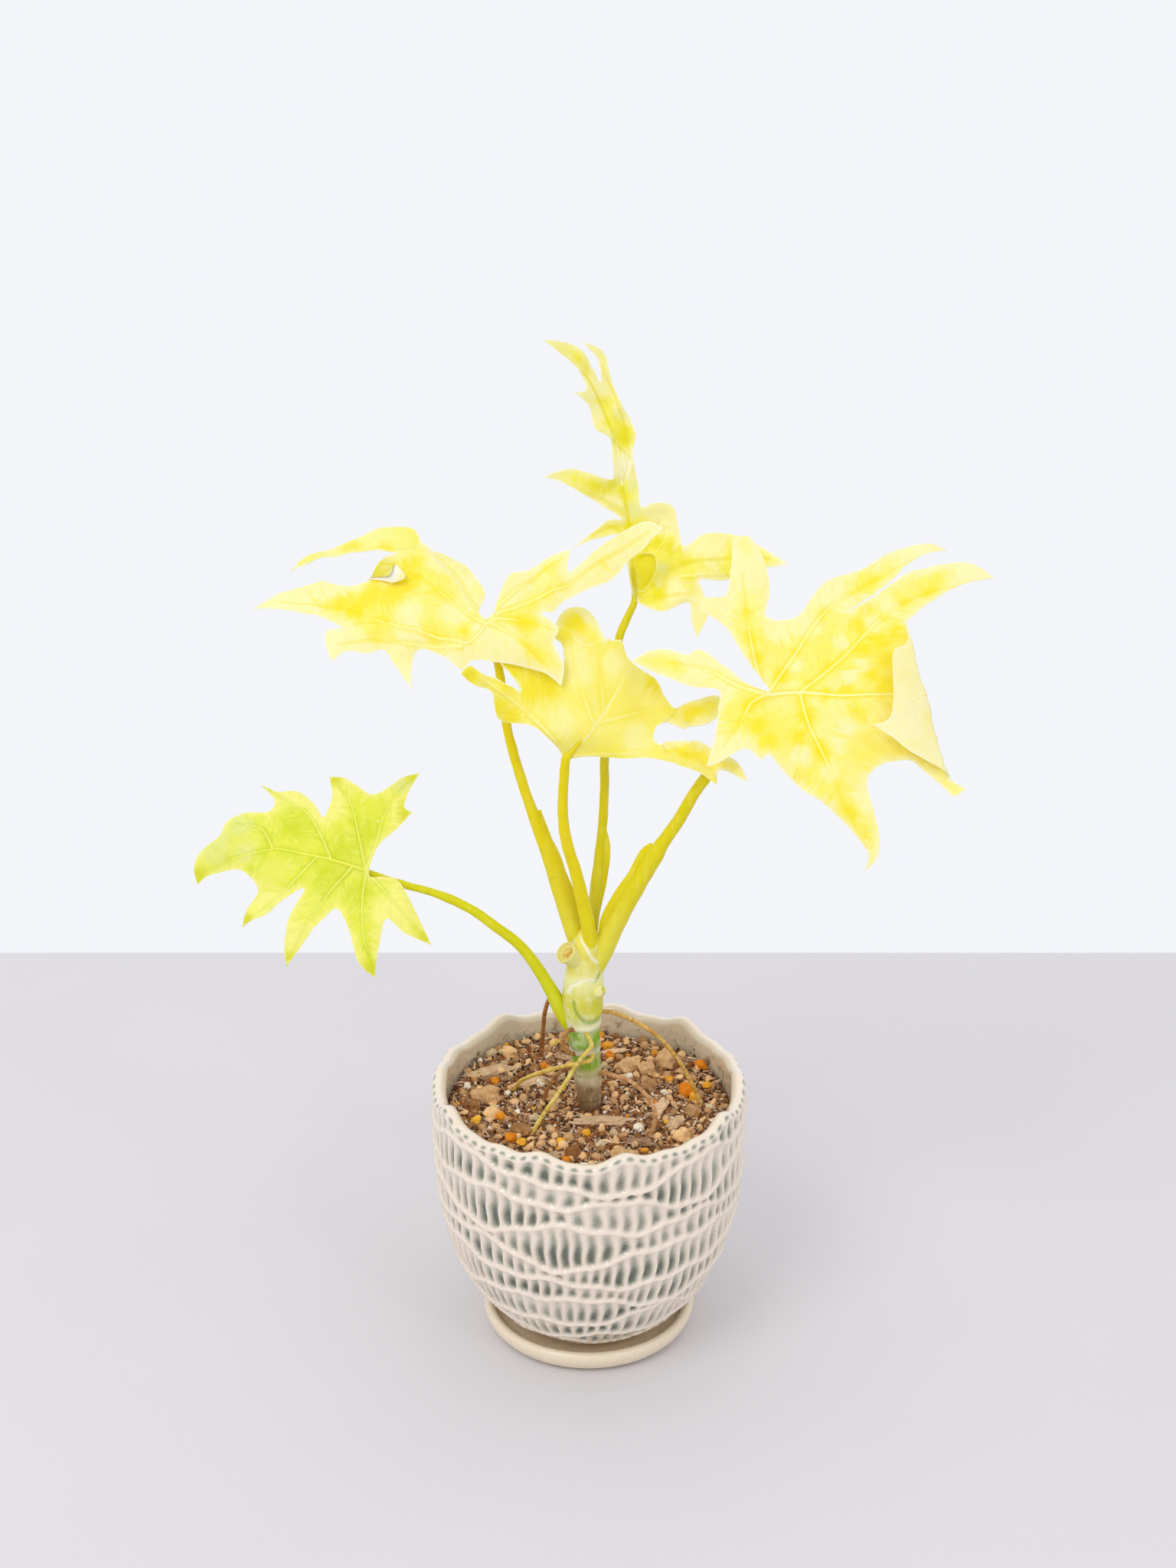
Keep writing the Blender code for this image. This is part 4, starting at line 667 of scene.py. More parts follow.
def smooth_path(stations, step):
    """Points about a step apart on the smooth curve through stations of (x, y, z, radius)."""
    stations = [np.array(station, float) for station in stations]
    ends = [2 * stations[0] - stations[1], *stations, 2 * stations[-1] - stations[-2]]
    path = []
    for before, start, end, after in zip(ends, ends[1:], ends[2:], ends[3:]):
        pieces = max(1, round(np.linalg.norm((end - start)[:3]) / step))
        path += [catmull(before, start, end, after, piece / pieces) for piece in range(pieces)]
    path.append(stations[-1])
    return np.array(path)


def stalk(name, stations, sides, step, coat, swell, flat_end=False):
    """A stalk along stations, each point pushed out by swell(centre, angle, run), in millimetres.

    It carries how far along it each point is, and where its cut end face lies.
    """
    path = smooth_path(stations, step)
    runs = np.concatenate([[0.0], np.cumsum(np.linalg.norm(np.diff(path[:, :3], axis=0), axis=1))])
    points, run_at, cut = [], [], []
    side = None
    for index, station in enumerate(path):
        before, after = path[max(index - 1, 0)], path[min(index + 1, len(path) - 1)]
        ahead = Vector(after[:3] - before[:3]).normalized()
        if side is None:
            side = ahead.cross(Vector((0.3, 1.0, 0.2))).normalized()
        side = (side - ahead * side.dot(ahead)).normalized()
        across = ahead.cross(side)
        for corner in range(sides):
            angle = 2 * math.pi * corner / sides
            spoke = side * math.cos(angle) + across * math.sin(angle)
            radius = station[3] + swell(Vector(station[:3]), spoke, runs[index])
            points.append(Vector(station[:3]) + spoke * max(radius, 0.15))
            run_at.append(runs[index])
            cut.append(0.0)
    centre = Vector(path[-1, :3])
    lips = ((0.96, 0.3), (0.88, 0.25), (0.8, -1.1), (0.4, -1.4)) if flat_end else (
        (0.9, 0.3), (0.68, 0.55), (0.36, 0.7))
    for share, rise in lips:
        for corner in range(sides):
            rim = points[(len(path) - 1) * sides + corner]
            lift = rise if flat_end else rise * path[-1, 3]
            points.append(centre + (rim - centre) * share + ahead * lift)
            run_at.append(runs[-1])
            cut.append(1.0 if flat_end and share < 0.8 else 0.0)
    rows = len(path) + len(lips)
    faces = ring_faces(rows, sides)
    faces.append(tuple(reversed(range(sides))))
    last = len(points) - sides
    tip_rise = lips[-1][1] if flat_end else 0.75 * path[-1, 3]
    faces += [(last + corner, last + (corner + 1) % sides, len(points)) for corner in range(sides)]
    points.append(centre + ahead * tip_rise)
    run_at.append(runs[-1])
    cut.append(1.0 if flat_end else 0.0)
    return add_piece(name, [tuple(point) for point in points], faces, coat,
                     {"run": run_at, "cut": cut}, 60.0)


def bands(tree, value, low, high, stops):
    """Colours that follow one number, from stops of (number, colour)."""
    share = add(tree, "ShaderNodeMapRange", {"Value": value, "From Min": low, "From Max": high})
    ramp = add(tree, "ShaderNodeValToRGB", {"Fac": share.outputs[0]})
    marks = ramp.color_ramp.elements
    while len(marks) < len(stops):
        marks.new(1.0)
    for mark, (number, colour) in zip(marks, stops):
        mark.position = (number - low) / (high - low)
        mark.color = srgb(*colour)
    return ramp.outputs[0]


def make_stem_coat():
    coat, tree, shader = new_coat("stem_skin")
    where = place_of(tree)
    height = sums(tree, "MULTIPLY", add(tree, "ShaderNodeSeparateXYZ", {0: where}).outputs[2], 1000.0)
    drift = clouds(tree, where, 4.0, 3.0)
    height = sums(tree, "ADD", height, sums(tree, "MULTIPLY", sums(tree, "SUBTRACT", drift, 0.5), 2.6))
    colour = bands(tree, height, 90.0, 172.0, STEM_BANDS)
    streaks = clouds(tree, where, 1.6, 4.0, 0.6, (1.0, 1.0, 0.2))
    blotch = clouds(tree, where, 5.0, 4.0)
    bloom = spread(tree, clouds(tree, where, 7.0, 5.0, 0.65), 0.48, 0.68)
    colour = tint(tree, sums(tree, "MULTIPLY", bloom, 0.5), colour, (240, 242, 206))
    colour = tint(tree, sums(tree, "MULTIPLY", spread(tree, streaks, 0.5, 0.72), 0.25), colour,
                  (246, 240, 200))
    dots = spread(tree, clouds(tree, where, 0.8, 2.0), 0.7, 0.75)
    colour = tint(tree, sums(tree, "MULTIPLY", dots, 0.4), colour, (128, 88, 44))
    colour = tint(tree, sums(tree, "MULTIPLY", reading(tree, "ring"), 0.5), colour, (142, 158, 70))
    # Painted shade along the seam grooves under the sheath edges and the bulge.
    colour = tint(tree, sums(tree, "MULTIPLY", reading(tree, "seam_shade"), 0.8), colour, (120, 160, 30))
    colour = tint(tree, sums(tree, "MULTIPLY", reading(tree, "pale_seam"), 0.8), colour, (250, 250, 232))
    colour = tint(tree, sums(tree, "MULTIPLY", reading(tree, "scar"), 0.8), colour, (104, 70, 40))
    cork = spread(tree, height, 110.0, 100.0)
    colour = tint(tree, sums(tree, "MULTIPLY", cork, spread(tree, streaks, 0.35, 0.6, 0.0, 0.7)),
                  colour, (112, 80, 50))
    settle(tree, shader, colour, spread(tree, blotch, 0.3, 0.7, 0.42, 0.62))
    shader.inputs["Subsurface Weight"].default_value = 0.12
    shader.inputs["Subsurface Scale"].default_value = 0.0015
    emboss(tree, shader, sums(tree, "ADD", streaks, sums(tree, "MULTIPLY", cork, blotch)), 0.35, 0.4)
    return coat


def make_stub_coat(name, skin, flesh, rim):
    coat, tree, shader = new_coat(name)
    where = place_of(tree)
    cut = reading(tree, "cut")
    mottle = clouds(tree, where, 1.4, 4.0)
    flesh_colour = tint(tree, spread(tree, mottle, 0.35, 0.65), flesh, rim)
    skin_colour = tint(tree, sums(tree, "MULTIPLY", spread(tree, mottle, 0.4, 0.7), 0.5), skin, rim)
    settle(tree, shader, tint(tree, cut, skin_colour, flesh_colour), spread(tree, mottle, 0.2, 0.8, 0.5, 0.75))
    emboss(tree, shader, mottle, 0.4, 0.3)
    return coat


def seam_distance(x, z, line):
    """How far a place on the front of the stem lies from a seam drawn there."""
    return min(
        float(np.linalg.norm(np.array([x, z]) - start - np.clip(
            (np.array([x, z]) - start) @ (end - start) / ((end - start) @ (end - start)), 0, 1)
            * (end - start)))
        for start, end in zip(np.array(line[:-1]), np.array(line[1:]))
    )


def stem_marks(x, z, front):
    """How strongly a place on the stem carries each mark: a front place has front above 0."""
    ring = 0.0
    for height, strength in STEM_RINGS:
        shown = 1.0 if height < 130.0 else float(ease(-front, 0.1, 0.5))
        ring = max(ring, shown * math.exp(-((z - height + 0.5) / 0.5) ** 2))
    shown = float(ease(front, 0.0, 0.3))
    pale = max(math.exp(-(seam_distance(x, z, line) / 0.5) ** 2) for line in PALE_SEAMS) * shown
    dark = max(math.exp(-(seam_distance(x, z + 0.3, line) / 0.6) ** 2) for line in SHADED_SEAMS) * shown
    away = math.hypot(x - SCAR[0], z - SCAR[1])
    scar = math.exp(-((away - SCAR[2]) / 0.35) ** 2) * shown
    return ring, pale, dark, scar


def stem_swell(centre, spoke, run):
    """Ridges of old sheath scars, sheath edges in front, and soft lumps between."""
    height = centre.z
    x = centre.x + spoke.x * 6.0
    ring, pale, dark, scar = stem_marks(x, height, -spoke.y)
    swell = 0.3 * pale - 0.45 * dark - 0.2 * scar - 0.16 * ring
    for at, strength in STEM_RINGS:
        if at < 130.0:
            swell += strength * math.exp(-((height - at - 0.5) / 0.8) ** 2)
    lumps = noise.noise((spoke.x * 1.6, spoke.y * 1.6, height / 5.0))
    fine = noise.noise((spoke.x * 5.0, spoke.y * 5.0, height / 1.6))
    cork = ease(height, 112.0, 98.0)
    return swell + lumps * 0.35 + fine * (0.06 + 0.3 * float(cork))


stem = stalk("stem_trunk", STEM, STEM_SIDES, STEM_STEP, make_stem_coat(), stem_swell)
marks_at = []
for corner in stem.data.vertices:
    x, y, z = (value / MM for value in corner.co)
    marks_at.append(stem_marks(x, z, -(y + 3.0) / 6.0))
for key, values in zip(("ring", "pale_seam", "seam_shade", "scar"), zip(*marks_at)):
    stem.data.attributes.new(key, "FLOAT", "POINT").data.foreach_set("value", np.array(values, np.float32))
hand_over(stem, "stem")


def rough_skin(amount, size):
    """A swell that roughens a stalk a little."""
    def swell(centre, spoke, run):
        return amount * noise.noise((centre + spoke * 2.0) / size)
    return swell


cut_stub = stalk("stem_cut_stub", CUT_STUB, 48, 0.5,
                 make_stub_coat("cut_stub", (232, 226, 140), (206, 146, 40), (226, 214, 110)),
                 rough_skin(0.25, 1.6), True)
hand_over(cut_stub, None)
torn_stub = stalk("stem_torn_stub", TORN_STUB, 32, 0.5,
                  make_stub_coat("torn_stub", (232, 232, 150), (186, 178, 60), (236, 226, 150)),
                  rough_skin(0.4, 1.2), True)
hand_over(torn_stub, None)


# The leaf stalks: five smooth, round, juicy petioles. Each clasps the stem, three of them with a
# sheath whose thin pale edges stand off it, and each runs on under its blade as the midrib.
PETIOLES = {
    "low_left": (
        (-4.2, -3.4, 124.0, 2.6), (-8.8, -3.2, 132.0, 3.0), (-13.6, -2.2, 141.6, 2.5),
        (-19.0, -1.0, 151.0, 2.1), (-25.0, 0.0, 159.0, 1.9), (-33.0, 0.0, 166.0, 1.8),
        (-41.0, 1.0, 172.0, 1.7), (-49.0, 2.0, 176.0, 1.6), (-57.0, 2.5, 179.0, 1.4),
        (-66.0, 4.0, 181.0, 1.3), (-73.0, 5.0, 183.0, 1.2), (-77.8, 4.2, 185.2, 1.2),
        (-80.0, 4.0, 186.0, 1.1), (-83.5, 4.8, 187.0, 0.7), (-87.0, 5.4, 187.8, 0.3),
    ),
    "upper_left": (
        (-2.5, 0.5, 154.0, 3.0), (-5.0, 1.0, 162.0, 3.1), (-9.5, 1.6, 179.0, 3.4),
        (-13.0, 2.2, 192.0, 3.3), (-16.5, 2.8, 201.0, 2.6), (-20.5, 3.3, 212.0, 1.9),
        (-23.0, 4.0, 220.0, 1.8), (-26.0, 4.4, 231.0, 1.7), (-28.2, 5.0, 241.0, 1.6),
        (-30.2, 6.0, 258.0, 1.5), (-31.4, 6.6, 266.0, 1.5), (-33.6, 6.4, 276.6, 1.4),
        (-34.2, 5.8, 277.8, 1.0), (-35.4, 5.4, 277.4, 0.6), (-36.6, 5.0, 276.6, 0.3),
    ),
    "centre": (
        (0.5, -4.0, 158.0, 2.4), (-0.2, -4.6, 168.0, 2.5), (-2.0, -5.2, 178.0, 2.4),
        (-4.6, -6.4, 191.0, 2.2), (-7.7, -7.6, 203.0, 2.0), (-9.0, -8.7, 215.0, 1.8),
        (-8.6, -10.0, 227.0, 1.7), (-8.0, -11.6, 234.9, 1.6),
        (-7.6, -12.2, 237.2, 1.5), (-5.6, -13.0, 240.4, 1.0), (-2.8, -14.2, 244.0, 0.5),
    ),
    "right": (
        (2.0, -1.0, 150.0, 3.4), (5.0, -1.6, 158.0, 4.0), (10.0, -2.2, 170.0, 3.6),
        (18.0, -4.2, 187.0, 3.2), (23.0, -5.8, 197.0, 3.0), (26.0, -6.8, 203.0, 2.4),
        (31.0, -8.4, 212.0, 2.2), (36.0, -10.6, 223.0, 2.0), (41.0, -13.0, 232.0, 2.0),
        (49.0, -15.6, 245.0, 1.9), (55.0, -17.4, 256.0, 1.7), (58.2, -18.2, 260.8, 1.6),
        (59.6, -18.8, 262.0, 1.2), (63.0, -18.8, 262.6, 0.8), (67.0, -19.0, 262.8, 0.3),
    ),
    "top": (
        (1.0, 3.4, 158.0, 1.9), (2.0, 4.6, 173.0, 2.2), (3.5, 6.0, 188.0, 2.0),
        (4.6, 7.4, 199.0, 1.7), (5.4, 9.0, 213.0, 1.6), (5.6, 10.2, 229.0, 1.6),
        (7.0, 11.6, 247.0, 1.5), (10.0, 13.2, 269.0, 1.4), (12.6, 14.8, 276.5, 1.3),
        (15.4, 16.0, 282.4, 1.2),
        (15.8, 17.6, 285.2, 1.1), (15.5, 20.2, 288.2, 0.8), (15.2, 23.6, 293.0, 0.3),
    ),
}
PETIOLE_SIDES = 32
PETIOLE_STEP = 1.2
SHEATH_EDGES = {
    "upper_left": ((-16.9, 3.4, 210.6), (-14.0, 2.6, 202.6), (-10.3, 2.2, 192.7), (-6.5, 1.8, 183.0),
                   (-4.1, 1.4, 174.8), (-3.0, 1.0, 168.0)),
    "right": ((21.6, -3.4, 201.0), (17.9, -3.0, 197.4), (13.7, -3.0, 189.0), (8.3, -2.6, 180.0),
              (4.3, -2.4, 170.9), (3.2, -2.0, 163.0)),
    "top": ((5.4, 6.6, 204.5), (7.6, 5.4, 195.0), (6.7, 4.8, 184.0), (4.8, 4.0, 174.0),
            (3.0, 3.4, 164.0)),
}


def make_stalk_coat(name, low, high, edge):
    """Juicy green-yellow skin, yellower towards the blade, faintly streaked along its length."""
    coat, tree, shader = new_coat(name)
    where = place_of(tree)
    run = sums(tree, "ADD", reading(tree, "run"), sums(tree, "MULTIPLY", clouds(tree, where, 14.0), 24.0))
    colour = tint(tree, spread(tree, run, 8.0, 62.0), low, high)
    streaks = clouds(tree, where, 2.2, 3.0, 0.6, (1.0, 1.0, 0.16))
    colour = tint(tree, sums(tree, "MULTIPLY", spread(tree, streaks, 0.45, 0.75), 0.4), colour, edge)
    dark = clouds(tree, where, 3.4, 4.0)
    colour = tint(tree, sums(tree, "MULTIPLY", spread(tree, dark, 0.52, 0.78), 0.3), colour,
                  (214, 218, 90), "MULTIPLY")
    settle(tree, shader, colour, spread(tree, dark, 0.2, 0.8, 0.3, 0.42))
    shader.inputs["Specular IOR Level"].default_value = 0.22
    shader.inputs["Subsurface Weight"].default_value = 0.2
    shader.inputs["Subsurface Scale"].default_value = 0.002
    emboss(tree, shader, streaks, 0.2, 0.3)
    return coat


STALK_COLOURS = {
    "low_left": ((206, 211, 30), (214, 209, 2), (226, 224, 70)),
    "upper_left": ((228, 218, 60), (228, 210, 0), (236, 226, 80)),
    "centre": ((226, 212, 20), (230, 212, 0), (236, 224, 60)),
    "right": ((230, 222, 76), (224, 210, 0), (238, 228, 90)),
    "top": ((222, 214, 60), (216, 204, 0), (234, 226, 90)),
}


def ribbon(name, edge, stations, coat):
    """A sheath's thin free edge, from the stalk's own line out to the edge."""
    edge = smooth_path([(*point, 0.0) for point in edge], 1.0)[:, :3]
    path = smooth_path(stations, 0.5)[:, :3]
    points, runs = [], []
    across_steps = 6
    for side in (1, -1):
        for rank, point in enumerate(edge):
            root = path[np.argmin(np.abs(path[:, 2] - point[2] + 1.0))]
            for step in range(across_steps + 1):
                share = step / across_steps
                spot = root + (point - root) * share
                thick = 0.42 * (1 - share) + 0.16
                wave = 0.35 * share * math.sin(rank * 0.31) * math.sin(rank * 0.11 + 1.0)
                points.append((spot[0], spot[1] + side * thick + wave - 0.6 * math.sin(math.pi * share),
                               spot[2]))
                runs.append(70.0 * share)
    rows, columns = len(edge), across_steps + 1
    count = rows * columns
    faces = []
    for row in range(rows - 1):
        for step in range(across_steps):
            a = row * columns + step
            faces.append((a, a + 1, a + columns + 1, a + columns))
            faces.append((a + count, a + count + columns, a + count + columns + 1, a + count + 1))
    rim = [row * columns for row in range(rows)]
    rim += [(rows - 1) * columns + step for step in range(1, columns)]
    rim += [row * columns + across_steps for row in range(rows - 2, -1, -1)]
    rim += list(range(across_steps - 1, 0, -1))
    for start, end in zip(rim, (*rim[1:], rim[0])):
        faces.append((start, end, end + count, start + count))
    mesh = bmesh.new()
    corners = [mesh.verts.new(point) for point in points]
    for face in faces:
        mesh.faces.new([corners[index] for index in face])
    bmesh.ops.recalc_face_normals(mesh, faces=mesh.faces)
    mesh.verts.index_update()
    faces = [tuple(corner.index for corner in face.verts) for face in mesh.faces]
    mesh.free()
    return add_piece(name, points, faces, coat, {"run": runs}, 60.0)


for name, stations in PETIOLES.items():
    skin = make_stalk_coat("stalk_skin_" + name, *STALK_COLOURS[name])
    petiole = stalk("petiole_" + name + "_skin", stations, PETIOLE_SIDES, PETIOLE_STEP, skin,
                    rough_skin(0.16, 4.0))
    hand_over(petiole, "petiole_" + name)
    if name in SHEATH_EDGES:
        wing = ribbon("sheath_edge_" + name, SHEATH_EDGES[name], stations, skin)
        hand_over(wing, None)


# The aerial roots: wiry, a little wavy, they leave the stem's nodes and dive into the mix. Their
# skin is yellow when young and turns brown, with pale cracked rings.
ROOTS = {
    "back_left": (
        (-6.0, 0.0, 131.0), (-10.0, 3.5, 134.2), (-13.1, 6.0, 134.6), (-15.1, 10.0, 129.5),
        (-16.4, 16.0, 121.0), (-17.0, 24.0, 111.0), (-17.7, 32.0, 99.0), (-18.0, 34.0, 90.0),
    ),
    "right_long": (
        (1.0, -1.0, 131.5), (6.5, 1.0, 131.0), (11.4, 2.0, 129.0), (18.3, 2.0, 125.4),
        (24.2, 1.0, 121.5), (29.0, 1.0, 116.0), (33.5, 0.0, 110.0), (36.4, -1.0, 104.6),
        (39.2, -2.0, 99.0), (40.6, -3.0, 93.5), (41.0, -3.4, 88.5),
    ),
    "front_long": (
        (-1.5, -6.0, 128.5), (-0.4, -10.5, 127.4), (1.0, -12.6, 124.6), (-2.0, -14.2, 121.4),
        (-5.0, -15.6, 117.5), (-8.0, -17.4, 112.8), (-12.5, -19.6, 106.6), (-17.6, -22.0, 99.4),
        (-21.0, -24.0, 94.0), (-23.0, -25.2, 88.5),
    ),
    "front_left": (
        (1.6, -7.6, 118.6), (0.6, -11.8, 118.2), (-3.6, -13.0, 117.6), (-8.4, -12.0, 116.0),
        (-12.5, -9.6, 113.4), (-17.3, -5.0, 109.0), (-21.6, 0.0, 104.3), (-25.1, 5.0, 99.4),
        (-27.2, 8.6, 94.5), (-28.2, 10.4, 89.0),
    ),
    "left_short": (
        (-2.5, -6.5, 113.5), (-7.4, -8.8, 113.0), (-10.4, -7.8, 110.8), (-12.8, -6.0, 106.7),
        (-15.1, -3.0, 100.9), (-16.3, 0.0, 94.6), (-16.8, 1.0, 89.5),
    ),
    "right_front": (
        (1.5, -6.0, 109.4), (6.4, -8.4, 110.4), (10.4, -10.2, 110.4), (14.4, -12.0, 109.8),
        (18.2, -15.0, 108.4), (21.7, -18.0, 105.7), (23.8, -21.0, 101.8), (23.3, -23.0, 97.3),
        (21.7, -24.0, 93.0), (21.0, -24.4, 88.5),
    ),
    "loop": (
        (-4.2, -7.0, 128.0), (-6.2, -9.4, 129.4), (-8.2, -11.0, 129.2), (-9.4, -11.6, 126.0),
        (-8.4, -11.0, 122.0), (-6.6, -9.4, 119.6), (-4.2, -7.4, 118.4),
    ),
    "stub": ((-4.0, -4.6, 123.0), (-8.4, -5.6, 123.4), (-10.8, -6.0, 122.8), (-13.4, -6.4, 121.6)),
}
ROOT_RADIUS = 0.8
ROOT_SIDES = 20
ROOT_STEP = 0.6
ROOT_COLOURS = {
    "back_left": ((186, 126, 52), (150, 92, 38)), "right_long": ((216, 176, 84), (190, 140, 46)),
    "front_long": ((222, 200, 104), (206, 178, 66)), "front_left": ((226, 196, 90), (204, 164, 56)),
    "left_short": ((186, 134, 74), (142, 92, 50)), "right_front": ((200, 148, 92), (166, 114, 66)),
    "loop": ((190, 132, 62), (150, 100, 44)), "stub": ((226, 200, 84), (190, 150, 50)),
}


def make_root_coat(name, young, old):
    coat, tree, shader = new_coat(name)
    where = place_of(tree)
    run = reading(tree, "run")
    wave = add(tree, "ShaderNodeTexNoise", {"W": run, "Scale": 0.9, "Detail": 3.0},
               noise_dimensions="1D").outputs[0]
    mottle = clouds(tree, where, 3.0, 4.0)
    colour = tint(tree, spread(tree, mottle, 0.35, 0.65), young, old)
    cracks = spread(tree, wave, 0.56, 0.66)
    colour = tint(tree, sums(tree, "MULTIPLY", cracks, 0.3), colour, (240, 222, 170))
    colour = tint(tree, sums(tree, "MULTIPLY", spread(tree, wave, 0.42, 0.34), 0.3), colour, (128, 84, 40))
    settle(tree, shader, colour, spread(tree, mottle, 0.2, 0.8, 0.45, 0.65))
    shader.inputs["Subsurface Weight"].default_value = 0.1
    shader.inputs["Subsurface Scale"].default_value = 0.001
    emboss(tree, shader, wave, 0.3, 0.3)
    return coat


def root_swell(centre, spoke, run):
    return (0.12 * noise.noise((centre + spoke) / 1.7) + 0.08 * math.sin(run * 2.1)
            * noise.noise((run / 6.0, 0.4, 0.0)))


for name, line in ROOTS.items():
    root = stalk("aerial_root_" + name + "_skin", [(*point, ROOT_RADIUS) for point in line],
                 ROOT_SIDES, ROOT_STEP, make_root_coat("root_" + name, *ROOT_COLOURS[name]), root_swell)
    hand_over(root, "aerial_root_" + name)


